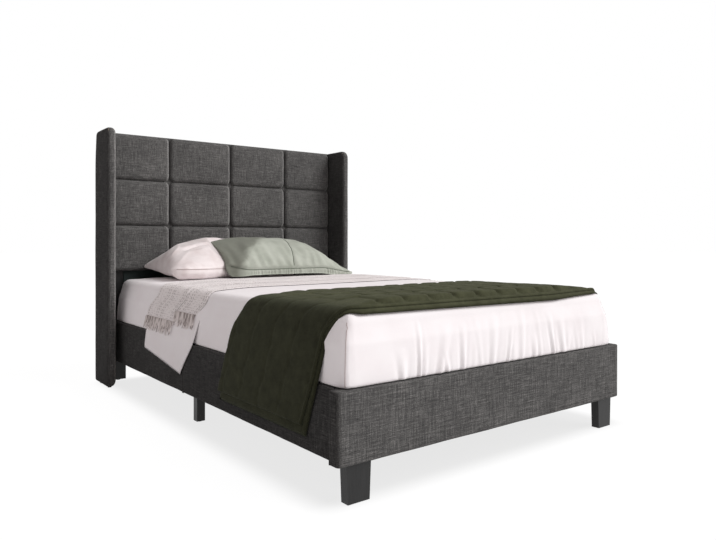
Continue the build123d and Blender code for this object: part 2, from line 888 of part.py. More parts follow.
def quilt_puffs(base):
    """Rows of stuffed pockets on top, each row half a pocket along from the one before it."""
    span = 2 * roll_centre_x
    pitch = span / quilt_columns
    first = quilt_corner[0] + quilt_fold_step + quilt_border + quilt_border_gap
    row_depth = (quilt_back - first) / quilt_rows
    puffs = []
    for row in range(quilt_rows):
        shift = pitch / 2 if row % 2 else 0
        front = foot_face + first + row * row_depth
        for column in range(quilt_columns - (row % 2)):
            x = -span / 2 + shift + (column + 1 / 2) * pitch
            over_crown = min(1, max(0, (roll_centre_x - abs(x) - pitch / 2) / mattress_crown_inset))
            middle = (x, front + row_depth / 2)
            size = (pitch - quilt_puff_gap, row_depth - quilt_puff_gap)
            puffs.append(puff(middle, *size, base + crown_rise(over_crown)))
    return puffs


def puff(middle, width, depth, base):
    """One stuffed pocket, let into the layer under it."""
    # Width and height of each level of the pocket.
    puff_shares = ((1.0, 0.0), (0.86, 0.62), (0.5, 1.0))
    foot = base - quilt_layer / 2
    sections = [Plane((*middle, foot)) * Rectangle(width, depth)]
    for size_share, rise_share in puff_shares:
        plane = Plane((*middle, base + rise_share * quilt_puff))
        sections.append(plane * Rectangle(width * size_share, depth * size_share))
    return loft(sections, ruled=True)


def quilt_throw():
    """The quilted throw: two layers, a raised border along its front and stuffed pockets."""
    front = quilt_corner[0]
    under = cloth(quilt_sections(0, 0, 0), quilt_layer, profile_between(0, front, None))
    lines = quilt_sections(quilt_layer, quilt_fold_step, quilt_fold_rise)
    front += quilt_fold_step
    over = cloth(lines, quilt_layer, profile_between(quilt_layer, front, None))
    strip = profile_between(quilt_layer, front, front + quilt_border)
    ridge = cloth(lines, quilt_layer + quilt_border_rise, strip)
    base = edge_top + soft_gap + sheet_thickness + soft_gap + 2 * quilt_layer
    return joined([under, over, ridge] + quilt_puffs(base))


def top_sheet():
    """The flat sheet under the knitted throw, with a corner that hangs over the left rail."""
    left = edge_line(0, -1, (shoulder_level, top_sheet_hem_low))
    right = edge_line(0, 1, (top_sheet_right_hem,))
    edges = [(top_sheet_hem_front, top_sheet_hem_back, top_sheet_hem_high - top_sheet_hem_low, 0, 0)]
    edges.append((top_sheet_rail_front, top_sheet_rail_back, 0, 0, 0))
    edges += [(top_sheet_front, top_sheet_back, 0, 0, 0)] * (len(left) + len(right) - len(edges))
    return cloth(sections_of(left, right, edges), top_sheet_thickness)


def fringe(clear, front, back, hem):
    """A comb of strands that hangs from the left hem."""
    upper = edge_line(clear, -1, (hem,))[-1]
    lower = edge_line(clear, -1, (hem - fringe_length,))[-1]
    down = Vector(lower[0] - upper[0], 0, lower[1] - upper[1]).normalized()
    facing = Vector(down.Z, 0, -down.X)
    count = int((back - front) / fringe_pitch)
    pitch = (back - front) / count
    outline = []
    for number in range(count):
        start = front + number * pitch
        for place, length in ((0, 0), (0, fringe_length), (fringe_strand, fringe_length), (fringe_strand, 0)):
            outline.append((start + place, length))
    outline += [(back, 0), (back, -fringe_overlap), (front, -fringe_overlap)]
    origin = Vector(upper[0], foot_face, upper[1]) + facing * fringe_inset
    points = [origin + Vector(0, y, 0) + down * length for y, length in outline]
    return extrude(make_face(Polyline(*points, close=True)), lace_thickness - 2 * fringe_inset, dir=facing)


def lace_throw():
    """The knitted throw: a wide lap, a second lap over its back part, and a fringe on each."""
    clear = top_sheet_thickness + soft_gap
    left = edge_line(clear, -1, (lace_front_hem,))
    right = edge_line(clear, 1, (lace_right_hem,))
    half = len(left) - 1
    edges = [(lace_hem_front, lace_hem_back, 0, 0, 0)]
    edges += [(lace_front, lace_back, 0, 0, 0)] * half
    edges += [(lace_right_front, lace_right_back, 0, 0, 0)] * len(right)
    wide = cloth(sections_of(left, right, edges), lace_thickness)
    clear_over = clear + lace_thickness
    left = edge_line(clear_over, -1, (lace_front_hem, lace_back_hem))
    right = edge_line(clear_over, 1, (lace_right_hem,))
    edges = [(lace_fold_hang, lace_hem_back, 0, 0, 0)] * 2
    edges += [(lace_fold, lace_back, 0, 0, 0)] * half
    edges += [(lace_fold, lace_right_back, 0, 0, 0)] * len(right)
    narrow = cloth(sections_of(left, right, edges), lace_thickness)
    front_fringe = fringe(clear, lace_hem_front, lace_fold_hang, lace_front_hem)
    back_fringe = fringe(clear_over, lace_fold_hang, lace_hem_back, lace_back_hem)
    return joined([wide, narrow, front_fringe, back_fringe])


# Pillows.

def white_pillow():
    """The white pillow: plump at the left, pressed flat under the green one at the right."""
    floor = sheet_top + soft_gap
    back = pad_front - white_pillow_head_gap
    front = back - white_pillow_width
    sections = []
    for place_share, front_share, seam_share, rise_share in white_pillow_shares:
        x = -white_pillow_left + place_share * white_pillow_length
        y0 = front + front_share * white_pillow_width
        y1 = back - front_share * white_pillow_width * pillow_back_share
        seam = floor + seam_share * white_pillow_belly
        top = seam + pillow_seam / 2 + rise_share * white_pillow_rise
        sole = pillow_sole_share * (y1 - y0)
        low = floor + (seam - floor - pillow_seam) * max(0, 1 - rise_share / sole_down_share)
        middle = (y0 + y1) / 2
        rim_top = seam + pillow_seam / 2
        rim_low = seam - pillow_seam / 2
        crown = ThreePointArc((x, y0, rim_top), (x, middle, top), (x, y1, rim_top))
        back_rim = Line((x, y1, rim_top), (x, y1, rim_low))
        back_belly = Line((x, y1, rim_low), (x, middle + sole, low))
        base = Line((x, middle + sole, low), (x, middle - sole, low))
        front_belly = Line((x, middle - sole, low), (x, y0, rim_low))
        front_rim = Line((x, y0, rim_low), (x, y0, rim_top))
        outline = Wire([crown, back_rim, back_belly, base, front_belly, front_rim])
        sections.append(make_face(outline))
    return loft(sections, ruled=True)


def green_pillow():
    """The green pillow: a crowned form on a slant, its front edge on the mattress."""
    slope = math.radians(green_pillow_tilt)
    along = (math.cos(slope), math.sin(slope))
    outward = (-math.sin(slope), math.cos(slope))
    floor = sheet_top + soft_gap + green_pillow_lift
    sections = []
    for place_share, drawn_share, rise_share, belly_share in green_pillow_shares:
        x = -green_pillow_left + place_share * green_pillow_length
        y = foot_face + green_pillow_front + place_share * green_pillow_skew
        low = drawn_share * green_pillow_width
        high = green_pillow_width - low
        rise = pillow_seam / 2 + rise_share * green_pillow_rise
        belly = pillow_seam / 2 + belly_share * green_pillow_belly
        corners = []
        for s, n in ((low, pillow_seam / 2), (green_pillow_width / 2, rise), (high, pillow_seam / 2),
                     (high, -pillow_seam / 2), (green_pillow_width / 2, -belly), (low, -pillow_seam / 2)):
            corners.append((x, y + s * along[0] + n * outward[0], floor + s * along[1] + n * outward[1]))
        crown = ThreePointArc(corners[0], corners[1], corners[2])
        back_rim = Line(corners[2], corners[3])
        under = ThreePointArc(corners[3], corners[4], corners[5])
        front_rim = Line(corners[5], corners[0])
        sections.append(make_face(Wire([crown, back_rim, under, front_rim])))
    return loft(sections, ruled=True)


def pieces():
    """Every node of the bed, by name."""
    nodes = {}
    nodes["headboard_padding"] = headboard_padding()
    nodes["headboard_board"] = headboard_board()
    nodes["headboard_post_right"], nodes["headboard_post_left"] = both(headboard_post())
    nodes["headboard_battens"] = headboard_battens()
    nodes["headboard_lower_board"] = headboard_lower_board()
    nodes["headboard_back_cloth"] = headboard_back_cloth()
    nodes["wing_core_right"], nodes["wing_core_left"] = both(cut(wing_core(), screw_holes))
    nodes["wing_cover_right"], nodes["wing_cover_left"] = both(wing_cover())
    nodes["wing_brackets"] = wing_brackets()
    core = side_rail_core()
    nodes["side_rail_core_right"] = core
    nodes["side_rail_core_left"] = Compound([mirror(half, about=Plane.YZ) for half in core.solids()])
    front_cover = side_rail_cover(foot_inner, rail_seam, True)
    rear_cover = side_rail_cover(rail_seam, post_front, False)
    nodes["side_rail_cover_right_front"], nodes["side_rail_cover_left_front"] = both(front_cover)
    nodes["side_rail_cover_right_rear"], nodes["side_rail_cover_left_rear"] = both(rear_cover)
    nodes["slat_ledge_right"], nodes["slat_ledge_left"] = both(slat_ledge())
    nodes["rail_joint_plates"] = rail_joint_plates()
    nodes["foot_rail_core"] = foot_rail_core()
    nodes["foot_rail_cover"] = foot_rail_cover()
    nodes["front_leg_right"], nodes["front_leg_left"] = both(front_leg())
    nodes["side_leg_right"], nodes["side_leg_left"] = both(side_leg())
    nodes["head_brackets"] = angle_brackets(post_front, -1)
    nodes["foot_brackets"] = angle_brackets(foot_inner, 1)
    nodes["m8_bolts"] = Compound([bolt(*spot) for spot in all_bolts])
    nodes["small_screws"] = Compound([screw(*spot) for spot in all_screws])
    nodes["floor_glides"] = floor_glides()
    nodes["centre_beam_front"] = beam(beam_front_end, beam_joint)
    nodes["centre_beam_rear"] = beam(beam_joint, beam_back_end)
    nodes["centre_beam_sleeve"] = beam_sleeve()
    nodes["beam_hangers"] = Compound([beam_hanger(foot_inner, 1), beam_hanger(post_front, -1)])
    nodes["centre_leg_front"] = centre_leg(True)
    nodes["centre_leg_rear"] = centre_leg(False)
    nodes["levelling_foot_front"] = levelling_foot(True)
    nodes["levelling_foot_rear"] = levelling_foot(False)
    for number in range(slat_count):
        nodes[f"slat_{number + 1:02d}"] = slat(number)
    nodes["slat_straps"] = slat_straps()
    nodes["mattress"] = mattress()
    nodes["fitted_sheet"] = fitted_sheet()
    nodes["top_sheet"] = top_sheet()
    nodes["lace_throw"] = lace_throw()
    nodes["quilt_throw"] = quilt_throw()
    nodes["pillow_white"] = white_pillow()
    nodes["pillow_green"] = green_pillow()
    return nodes


os.makedirs("parts", exist_ok=True)
for name, shape in pieces().items():
    export_step(shape, f"parts/{name}.step")
print(f"bed {2 * wing_outer:.0f} wide, {bed_length:.0f} long, {wing_top:.0f} high")
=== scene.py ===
# %% [markdown]
# # An upholstered bed, dressed
#
# This lesson dresses a bed that is already built as a solid model. The frame, slats, legs and
# fastenings come in with the model and only need finishes. Everything soft is made here: the
# padded headboard, the cloth over the rails, the mattress and its sheets, two pillows and two
# throws. All lengths are metres, +Z is up and +Y points to the headboard.

# %% Load the frame
import json
import math

import bmesh
import bpy
import numpy as np
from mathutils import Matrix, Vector, noise
from mathutils.bvhtree import BVHTree


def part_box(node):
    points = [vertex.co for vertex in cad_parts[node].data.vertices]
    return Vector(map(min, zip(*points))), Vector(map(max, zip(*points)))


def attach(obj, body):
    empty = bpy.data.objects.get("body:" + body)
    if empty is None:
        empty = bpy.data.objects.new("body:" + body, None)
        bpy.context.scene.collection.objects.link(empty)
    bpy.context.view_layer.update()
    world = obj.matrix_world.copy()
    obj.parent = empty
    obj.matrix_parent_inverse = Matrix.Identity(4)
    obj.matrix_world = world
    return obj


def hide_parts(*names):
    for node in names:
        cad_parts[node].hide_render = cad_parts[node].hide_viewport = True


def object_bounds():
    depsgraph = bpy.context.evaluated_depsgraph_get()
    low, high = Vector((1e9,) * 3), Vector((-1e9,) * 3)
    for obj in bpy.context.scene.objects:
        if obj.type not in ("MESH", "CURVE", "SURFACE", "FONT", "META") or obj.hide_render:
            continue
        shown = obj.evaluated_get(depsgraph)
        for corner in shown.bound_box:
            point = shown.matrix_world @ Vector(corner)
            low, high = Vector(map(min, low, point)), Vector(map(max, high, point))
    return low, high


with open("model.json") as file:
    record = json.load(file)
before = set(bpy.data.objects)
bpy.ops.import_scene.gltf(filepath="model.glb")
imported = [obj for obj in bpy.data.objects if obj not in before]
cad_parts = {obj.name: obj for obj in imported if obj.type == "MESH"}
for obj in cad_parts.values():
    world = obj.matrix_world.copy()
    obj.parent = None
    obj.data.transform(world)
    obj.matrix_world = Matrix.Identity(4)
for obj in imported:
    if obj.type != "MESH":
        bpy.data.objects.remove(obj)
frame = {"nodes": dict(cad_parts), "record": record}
nodes = frame["nodes"]
cad_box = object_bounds()
print("frame nodes:", len(nodes))

# %% [markdown]
# The camera stands low, off the foot end's left corner, and looks along the floor. A lens shift
# brings the bed into the picture without tilting the camera, so upright edges stay upright.

# %% Camera
camera_data = bpy.data.cameras.new("camera")
camera = bpy.data.objects.new("camera", camera_data)
bpy.context.scene.collection.objects.link(camera)
bpy.context.scene.camera = camera
camera.location = (-1.640, -2.3675, 0.700)
camera.rotation_euler = (math.radians(90), 0, math.radians(-37.45))
camera_data.sensor_width = 36
camera_data.lens = 32.56
camera_data.shift_y = -0.0393
camera_data.clip_end = 200
print("camera at", tuple(camera.location))

# %% [markdown]
# The levels that the bedding shares are read from the model's own boxes, so the cloths lie on
# the mattress that is really there. Places along the bed are counted from the foot rail's face.

# %% Shared levels
foot_face = cad_box[0].y
mattress_low, mattress_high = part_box("mattress")
crown = 0.008    # how much higher the middle of the top is than its edges
crown_inset = 0.192    # how far in from a side the crown is reached, and from an end
crown_end_inset = 0.016
roll = 0.038    # the radius of the top edge
roll_half = 0.6081    # half the width at the sides
roll_x = roll_half - roll
roll_y = foot_face + 0.064
edge_top = mattress_high.z - crown
roll_z = edge_top - roll
sheet_clear = 0.0018    # the lowest cloth's distance from the mattress
rail_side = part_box("side_rail_cover_right_front")[1].x + 0.002
shoulder_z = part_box("side_rail_cover_right_front")[1].z + 0.002
print("mattress top", round(mattress_high.z, 4), "rail side", round(rail_side, 4))

# %% [markdown]
# ## Finishes
#
# A finish is a small tree of nodes. Each one here starts from the same helper, which makes the
# material and its main shader with a plain colour and roughness, and hands back both to build on.

# %% Finish helpers
def finish(name, colour, roughness, **sockets):
    """A new material and its tools: the tree, and the main shader with its plain values set."""
    material = bpy.data.materials.new(name)
    material.use_nodes = True
    tree = material.node_tree
    shader = tree.nodes["Principled BSDF"]
    shader.inputs["Base Color"].default_value = (*colour, 1)
    shader.inputs["Roughness"].default_value = roughness
    for socket, value in sockets.items():
        shader.inputs[socket.replace("_", " ")].default_value = value
    return material, tree, shader


def node(tree, kind, inputs=(), **settings):
    """A node with its settings made, and its inputs set or linked by name or number."""
    made = tree.nodes.new(kind)
    for key, value in settings.items():
        setattr(made, key, value)
    for key, value in dict(inputs).items():
        if isinstance(value, bpy.types.NodeSocket):
            tree.links.new(value, made.inputs[key])
        else:
            made.inputs[key].default_value = value
    return made


def place(tree, source="Object"):
    """Where the surface is: on the piece itself, or on its flat cut."""
    if source == "Object":
        return node(tree, "ShaderNodeTexCoord").outputs["Object"]
    return node(tree, "ShaderNodeUVMap", uv_map="Flat").outputs["UV"]


def split(tree, vector):
    """The three numbers of a place or a facing."""
    return node(tree, "ShaderNodeSeparateXYZ", {"Vector": vector}).outputs


def cloud(tree, where, scale, detail=2.0, roughness=0.5):
    """Soft patches of noise."""
    return node(tree, "ShaderNodeTexNoise", {"Vector": where, "Scale": scale, "Detail": detail,
                                             "Roughness": roughness}).outputs["Fac"]


def threads(tree, where, scale, detail=2.0):
    """Streaks: noise drawn out along one way by a small number in scale."""
    stretched = node(tree, "ShaderNodeMapping", {"Vector": where, "Scale": scale})
    return cloud(tree, stretched.outputs["Vector"], 1.0, detail, 0.6)


def maths(tree, operation, a, b=0.0, c=0.0):
    """One sum on two or three numbers."""
    return node(tree, "ShaderNodeMath", {0: a, 1: b, 2: c}, operation=operation).outputs[0]


def eased(tree, value, start, end, low=0.0, high=1.0):
    """A number that goes smoothly from low to high while another goes from start to end."""
    return node(tree, "ShaderNodeMapRange", {
        "Value": value, "From Min": start, "From Max": end, "To Min": low, "To Max": high,
    }, interpolation_type="SMOOTHSTEP").outputs[0]


def ramp(tree, factor, stops):
    """A colour, or a plain grey, for each value of a number."""
    made = node(tree, "ShaderNodeValToRGB", {"Fac": factor})
    elements = made.color_ramp.elements
    while len(elements) < len(stops):
        elements.new(0.5)
    for element, (at, colour) in zip(elements, stops):
        element.position = at
        element.color = (*colour, 1) if isinstance(colour, tuple) else (colour, colour, colour, 1)
    return made.outputs["Color"]


def blend(tree, share, one, other):
    """One colour going over into another, plain one."""
    return node(tree, "ShaderNodeMix", {"Factor": share, "A": one, "B": (*other, 1)},
                data_type="RGBA").outputs[2]


def dimmed(tree, colour, factor):
    """A colour made darker or paler by a number."""
    grey = node(tree, "ShaderNodeCombineXYZ", {"X": factor, "Y": factor, "Z": factor}).outputs[0]
    return node(tree, "ShaderNodeVectorMath", {0: colour, 1: grey},
                operation="MULTIPLY").outputs[0]


def paint(tree, shader, colour, height, distance, strength=1.0):
    """Gives the surface its colour, and relief from a number, as deep as distance."""
    tree.links.new(colour, shader.inputs["Base Color"])
    relief = node(tree, "ShaderNodeBump", {"Height": height, "Distance": distance,
                                           "Strength": strength})
    tree.links.new(relief.outputs["Normal"], shader.inputs["Normal"])


# %% [markdown]
# The upholstery is a linen-look weave of dark and pale yarns with slubs, the thick places in a
# hand-spun thread. Three sets of streaks, one along each axis, cross on every face of the bed
# whichever way it looks, so the weave needs no unwrapping and runs unbroken round the corners.
# On top of the weave, faces that look left get painted shade and edges that turn right get a
# painted highlight, set by which way each face looks.

# %% Linen upholstery
def crossing(tree, where, along, across, detail):
    """Streaks along each of the three axes, added up."""
    total = None
    for axis in range(3):
        scale = [across] * 3
        scale[axis] = along
        streak = threads(tree, where, scale, detail)
        total = streak if total is None else maths(tree, "ADD", total, streak)
    return total


def linen():
    """Charcoal melange cloth with crossing slubs."""
    material, tree, shader = finish("charcoal linen", (0.1, 0.1, 0.1), 0.95,
                                    Specular_IOR_Level=0.15)
    where = place(tree)
    slubs = maths(tree, "MULTIPLY", crossing(tree, where, 18, 520, 3.0), 0.22)
    yarns = maths(tree, "MULTIPLY", crossing(tree, where, 90, 1400, 1.0), 0.115)
    patches = maths(tree, "MULTIPLY", maths(tree, "SUBTRACT", cloud(tree, where, 5.0), 0.5), 0.05)
    weave = maths(tree, "ADD", maths(tree, "ADD", slubs, yarns), patches)
    colour = ramp(tree, weave, ((0.40, (0.022, 0.022, 0.022)), (0.485, (0.073, 0.072, 0.071)),
                                (0.53, (0.118, 0.116, 0.113)), (0.61, (0.28, 0.275, 0.265))))
    # Painted shade and painted highlight: the colour is darkened on faces that look left and made
    # lighter on edges that turn right.
    facing = split(tree, node(tree, "ShaderNodeTexCoord").outputs["Normal"])
    turned = maths(tree, "MULTIPLY_ADD", facing["X"], 0.5, 0.5)
    pale = ramp(tree, turned, ((0.0, 0.17), (0.42, 0.36), (0.5, 0.40), (0.62, 0.45),
                               (0.76, 0.86), (0.84, 0.86), (1.0, 0.5)))
    tone_factor = maths(tree, "MULTIPLY", pale, 2.5)
    paint(tree, shader, dimmed(tree, colour, tone_factor), weave, 0.0035, 0.8)
    return material


upholstery = linen()
print("upholstery finish ready")

# %% [markdown]
# The hard parts keep their solids from the model and get a finish each: black satin paint over
# wood grain on the legs, pale planed wood for the slats, pressed board for what the cloth hides,
# powder-coated and plated steel, and moulded plastic.

# %% Hard finishes
def painted_wood():
    """Black satin paint with the grain just showing."""
    material, tree, shader = finish("black satin wood", (0.012, 0.012, 0.012), 0.40,
                                    Specular_IOR_Level=0.35)
    grain = threads(tree, place(tree), (220, 220, 12), 4.0)
    tree.links.new(maths(tree, "MULTIPLY_ADD", grain, 0.16, 0.30), shader.inputs["Roughness"])
    paint(tree, shader, ramp(tree, grain, ((0.3, 0.009), (0.7, 0.020))), grain, 0.0004)
    return material


def planed_wood(name, pale, dark, along):
    """Planed wood with its grain along the length."""
    material, tree, shader = finish(name, pale, 0.55)
    grain = threads(tree, place(tree), along, 5.0)
    paint(tree, shader, ramp(tree, grain, ((0.3, dark), (0.65, pale))), grain, 0.0005)
    return material


def pressed_board():
    """Chips of wood pressed into board."""
    material, tree, shader = finish("pressed board", (0.5, 0.37, 0.23), 0.8)
    chips = node(tree, "ShaderNodeTexVoronoi", {"Vector": place(tree), "Scale": 260.0})
    chip = node(tree, "ShaderNodeSeparateColor", {"Color": chips.outputs["Color"]}).outputs[0]
    colour = ramp(tree, chip, ((0.1, (0.36, 0.25, 0.15)), (0.9, (0.58, 0.45, 0.29))))
    paint(tree, shader, colour, chip, 0.0003)
    return material


def coated(name, colour, roughness, metallic, grain_scale, depth):
    """A hard coat with a fine, even texture."""
    material, tree, shader = finish(name, colour, roughness, Metallic=metallic)
    speck = cloud(tree, place(tree), grain_scale, 3.0)
    uneven = maths(tree, "MULTIPLY_ADD", speck, 0.2, roughness - 0.1)
    tree.links.new(uneven, shader.inputs["Roughness"])
    darker = tuple(value * 0.8 for value in colour)
    paint(tree, shader, ramp(tree, speck, ((0.35, darker), (0.65, colour))), speck, depth)
    return material


finishes = {
    "upholstery": upholstery,
    "leg_black": painted_wood(),
    "slat_wood": planed_wood("planed poplar", (0.66, 0.50, 0.31), (0.50, 0.35, 0.19),
                             (6, 190, 190)),
    "board": pressed_board(),
    "dark_board": coated("dark green board", (0.009, 0.018, 0.017), 0.8, 0.0, 40.0, 0.0002),
    "black_steel": coated("powder-coated steel", (0.03, 0.03, 0.032), 0.5, 0.3, 900.0, 0.0001),
    "zinc_steel": coated("plated steel", (0.58, 0.58, 0.56), 0.38, 1.0, 300.0, 0.00005),
    "black_plastic": coated("black plastic", (0.03, 0.03, 0.03), 0.55, 0.0, 1200.0, 0.00005),
}
for part in frame["record"]["subparts"]:
    chosen = finishes.get(part["material_slot"])
    if chosen:
        shown = nodes[part["node"]]
        shown.data.materials.clear()
        shown.data.materials.append(chosen)
print("hard finishes:", len(finishes))

# %% [markdown]
# Bedding comes in four cloths. The white cotton is a close plain weave, the knitted throw has
# rows of stitches and small openwork holes, the quilted throw is brushed olive cloth, and the
# sage pillow is crinkled cotton. Patterns that follow a cloth are drawn on its flat cut, a map
# that is kept in metres, so a stitch stays the same size however the cloth lies.

# %% Bedding finishes
def cotton(name, colour, shade, sheen=0.15):
    """Close-woven cotton with a slight crinkle."""
    material, tree, shader = finish(name, colour, 0.85, Sheen_Weight=sheen)
    where = place(tree)
    weave = maths(tree, "ADD", threads(tree, where, (300, 1500, 1500), 0.0),
                  threads(tree, where, (1500, 300, 1500), 0.0))
    cloudy = cloud(tree, where, 9.0, 4.0, 0.55)
    height = maths(tree, "MULTIPLY_ADD", weave, 0.10, cloudy)
    paint(tree, shader, ramp(tree, cloudy, ((0.3, shade), (0.62, colour))), height, 0.0012, 0.7)
    return material


def sage():
    """Crinkled sage cotton, with painted shade over its left part."""
    colour, shade, painted_shade_colour = (0.43, 0.455, 0.395), (0.33, 0.355, 0.30), (0.135, 0.142, 0.112)
    turns_at = 0.4666
    material, tree, shader = finish("sage cotton", colour, 0.88, Sheen_Weight=0.05)
    where = place(tree)
    cloudy = cloud(tree, where, 11.0, 4.0)
    # Painted shade: the cover's left part is blended towards a dark colour.
    left = node(tree, "ShaderNodeVectorMath", {0: where, 1: (-0.69, 0.724, 0.0)},
                operation="DOT_PRODUCT").outputs["Value"]
    past = maths(tree, "SUBTRACT", left, turns_at)
    tone_factor = eased(tree, maths(tree, "MULTIPLY_ADD", cloudy, 0.10, past), 0.028, 0.075)
    crinkled = ramp(tree, cloudy, ((0.3, shade), (0.62, colour)))
    shown = blend(tree, maths(tree, "MULTIPLY", tone_factor, 0.8), crinkled, painted_shade_colour)
    paint(tree, shader, shown, cloudy, 0.0035, 0.8)
    return material


def satin(name, colour, shade):
    """Smooth cotton satin that takes a soft highlight."""
    material, tree, shader = finish(name, colour, 0.42, Sheen_Weight=0.2, Specular_IOR_Level=0.6)
    cloudy = cloud(tree, place(tree), 14.0, 3.0)
    paint(tree, shader, ramp(tree, cloudy, ((0.3, shade), (0.6, colour))), cloudy, 0.002, 0.6)
    return material


def stitches(tree, flat, scale, way):
    """Slightly uneven bands across a cloth's flat cut."""
    return node(tree, "ShaderNodeTexWave", {
        "Vector": flat, "Scale": scale, "Distortion": 1.5, "Detail": 1.0, "Detail Scale": 3.0,
    }, wave_type="BANDS", bands_direction=way).outputs["Fac"]


def knit():
    """Soft knit: rows of stitches, small openwork holes and two lines of eyelets at each edge."""
    material, tree, shader = finish("pale knit", (0.90, 0.85, 0.84), 0.9, Sheen_Weight=0.2)
    flat = place(tree, "Flat")
    stitch = maths(tree, "MULTIPLY", stitches(tree, flat, 60.0, "X"),
                   stitches(tree, flat, 50.0, "Y"))
    cells = node(tree, "ShaderNodeTexVoronoi", {"Vector": flat, "Scale": 115.0,
                                                "Randomness": 0.3}).outputs
    chance = node(tree, "ShaderNodeSeparateColor", {"Color": cells["Color"]}).outputs[0]
    hole = maths(tree, "MULTIPLY", maths(tree, "LESS_THAN", cells["Distance"], 0.27),
                 maths(tree, "GREATER_THAN", chance, 0.35))
    parts = split(tree, flat)
    across = maths(tree, "PINGPONG", parts["Y"], 0.080)
    repeat = maths(tree, "FRACT", maths(tree, "MULTIPLY", parts["X"], 80.0))
    dash = maths(tree, "LESS_THAN", repeat, 0.55)
    for edge in (0.016, 0.034):
        away = maths(tree, "ABSOLUTE", maths(tree, "SUBTRACT", across, edge))
        eyelets = maths(tree, "MULTIPLY", maths(tree, "LESS_THAN", away, 0.0036), dash)
        hole = maths(tree, "MAXIMUM", hole, eyelets)
    base = ramp(tree, stitch, ((0.0, (0.86, 0.80, 0.79)), (0.45, (0.97, 0.93, 0.925))))
    # The holes and eyelets are the knit's own pattern; their dark colour is painted shade, for the
    # shaded cloth below seen through them.
    shown = blend(tree, maths(tree, "MULTIPLY", hole, 0.50), base, (0.24, 0.19, 0.18))
    paint(tree, shader, shown, maths(tree, "SUBTRACT", stitch, hole), 0.0012)
    return material


def yarn():
    """The fringe: strands of the same yarn, some in the shade of others."""
    material, tree, shader = finish("fringe yarn", (0.86, 0.80, 0.78), 0.9, Sheen_Weight=0.2)
    streak = threads(tree, place(tree), (3, 330, 6), 1.0)
    shown = ramp(tree, streak, ((0.36, (0.30, 0.25, 0.235)), (0.56, (0.90, 0.84, 0.82))))
    tree.links.new(shown, shader.inputs["Base Color"])
    return material


def brushed_olive():
    """Brushed olive cloth, with painted shade where it hangs over the side."""
    material, tree, shader = finish("olive quilt", (0.055, 0.06, 0.032), 0.95, Sheen_Weight=0.08,
                                    Sheen_Roughness=0.4, Specular_IOR_Level=0.2)
    shader.inputs["Sheen Tint"].default_value = (0.75, 0.85, 0.6, 1)
    where = place(tree)
    tone_factor = cloud(tree, where, 26.0, 6.0, 0.7)
    # Painted shade: the colour is darker where the throw hangs, and a little lighter on top.
    hangs = eased(tree, split(tree, place(tree, "Flat"))["X"], 0.30, 0.44, 0.54, 1.06)
    colour = ramp(tree, tone_factor, ((0.3, (0.036, 0.038, 0.019)), (0.7, (0.070, 0.074, 0.040))))
    grain = threads(tree, where, (700, 700, 700))
    height = maths(tree, "MULTIPLY_ADD", tone_factor, 0.8, grain)
    paint(tree, shader, dimmed(tree, colour, hangs), height, 0.0008)
    return material


bedding = {
    "white_cotton": cotton("white cotton", (0.90, 0.87, 0.88), (0.875, 0.835, 0.845), 0.05),
    "satin": satin("white satin", (0.80, 0.735, 0.73), (0.68, 0.60, 0.59)),
    "ticking": cotton("ticking", (0.80, 0.78, 0.76), (0.72, 0.70, 0.68)),
    "knit": knit(),
    "yarn": yarn(),
    "olive_quilt": brushed_olive(),
    "sage_cotton": sage(),
    "back_cloth": cotton("black lining", (0.03, 0.03, 0.03), (0.02, 0.02, 0.02)),
    "webbing": cotton("grey webbing", (0.10, 0.10, 0.11), (0.07, 0.07, 0.075)),
    # The threads are darker than their cloths: painted shade of the creases along the seams.
    "sage_thread_painted_shade": finish("sage thread, painted seam shade", (0.10, 0.12, 0.09), 0.8)[0],
    "white_thread_painted_shade": finish("white thread, painted seam shade", (0.42, 0.34, 0.33), 0.8)[0],
}
print("bedding finishes:", len(bedding))

# %% [markdown]
# ## Making pieces
#
# Every new piece ends the same way: its mesh goes into an object at the origin, it is shaded
# smooth, it gets its finish, rides on a body of the model and stands for the solid that it
# replaces. A few helpers do what many pieces need: a flat grid to shape, rounded edges, a
# thickness, and smooth noise.

# %% Piece helpers
def as_mesh(bm, name):
    """The mesh of a finished work mesh, which is given up."""
    mesh = bpy.data.meshes.new(name)
    bm.to_mesh(mesh)
    bm.free()
    return mesh


def piece(name, made_from, material, body, replaced=(), smooth=True):
    """An object from a mesh or a work mesh, dressed and tied to the model."""
    is_work = isinstance(made_from, bmesh.types.BMesh)
    mesh = as_mesh(made_from, name) if is_work else made_from
    mesh.name = name
    made = bpy.data.objects.new(name, mesh)
    bpy.context.scene.collection.objects.link(made)
    mesh.materials.clear()
    mesh.materials.append(material)
    mesh.polygons.foreach_set("use_smooth", [smooth] * len(mesh.polygons))
    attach(made, body)
    if replaced:
        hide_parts(*replaced)
    print(name, "faces", len(mesh.polygons))
    return made


def thicken(made, amount):
    """Gives a cloth its thickness, inwards from the face that is seen."""
    thickness = made.modifiers.new("thickness", "SOLIDIFY")
    thickness.thickness = amount
    thickness.offset = -1


def grid(bm, across, along):
    """The points of a new flat grid of size 1 round the origin, for a shape to place."""
    return bmesh.ops.create_grid(bm, x_segments=across, y_segments=along, size=0.5)["verts"]


def rounded(bm, edges, radius, steps):
    """Rounds some edges."""
    bmesh.ops.bevel(bm, geom=edges, offset=radius, segments=steps, profile=0.5, material=-1,
                    affect="EDGES")


def wave(point, scale, seed=0.0):
    """Smooth noise between -1 and 1 at a point."""
    return noise.noise(Vector(point) * scale + Vector((seed, seed * 1.7, -seed)))


def clamp(value):
    """The nearest number from 0 to 1."""
    return min(1.0, max(0.0, value))


def ease(value, start, end):
    """0 before start, 1 after end and a smooth rise between them."""
    share = clamp((value - start) / (end - start))
    return share * share * (3 - 2 * share)


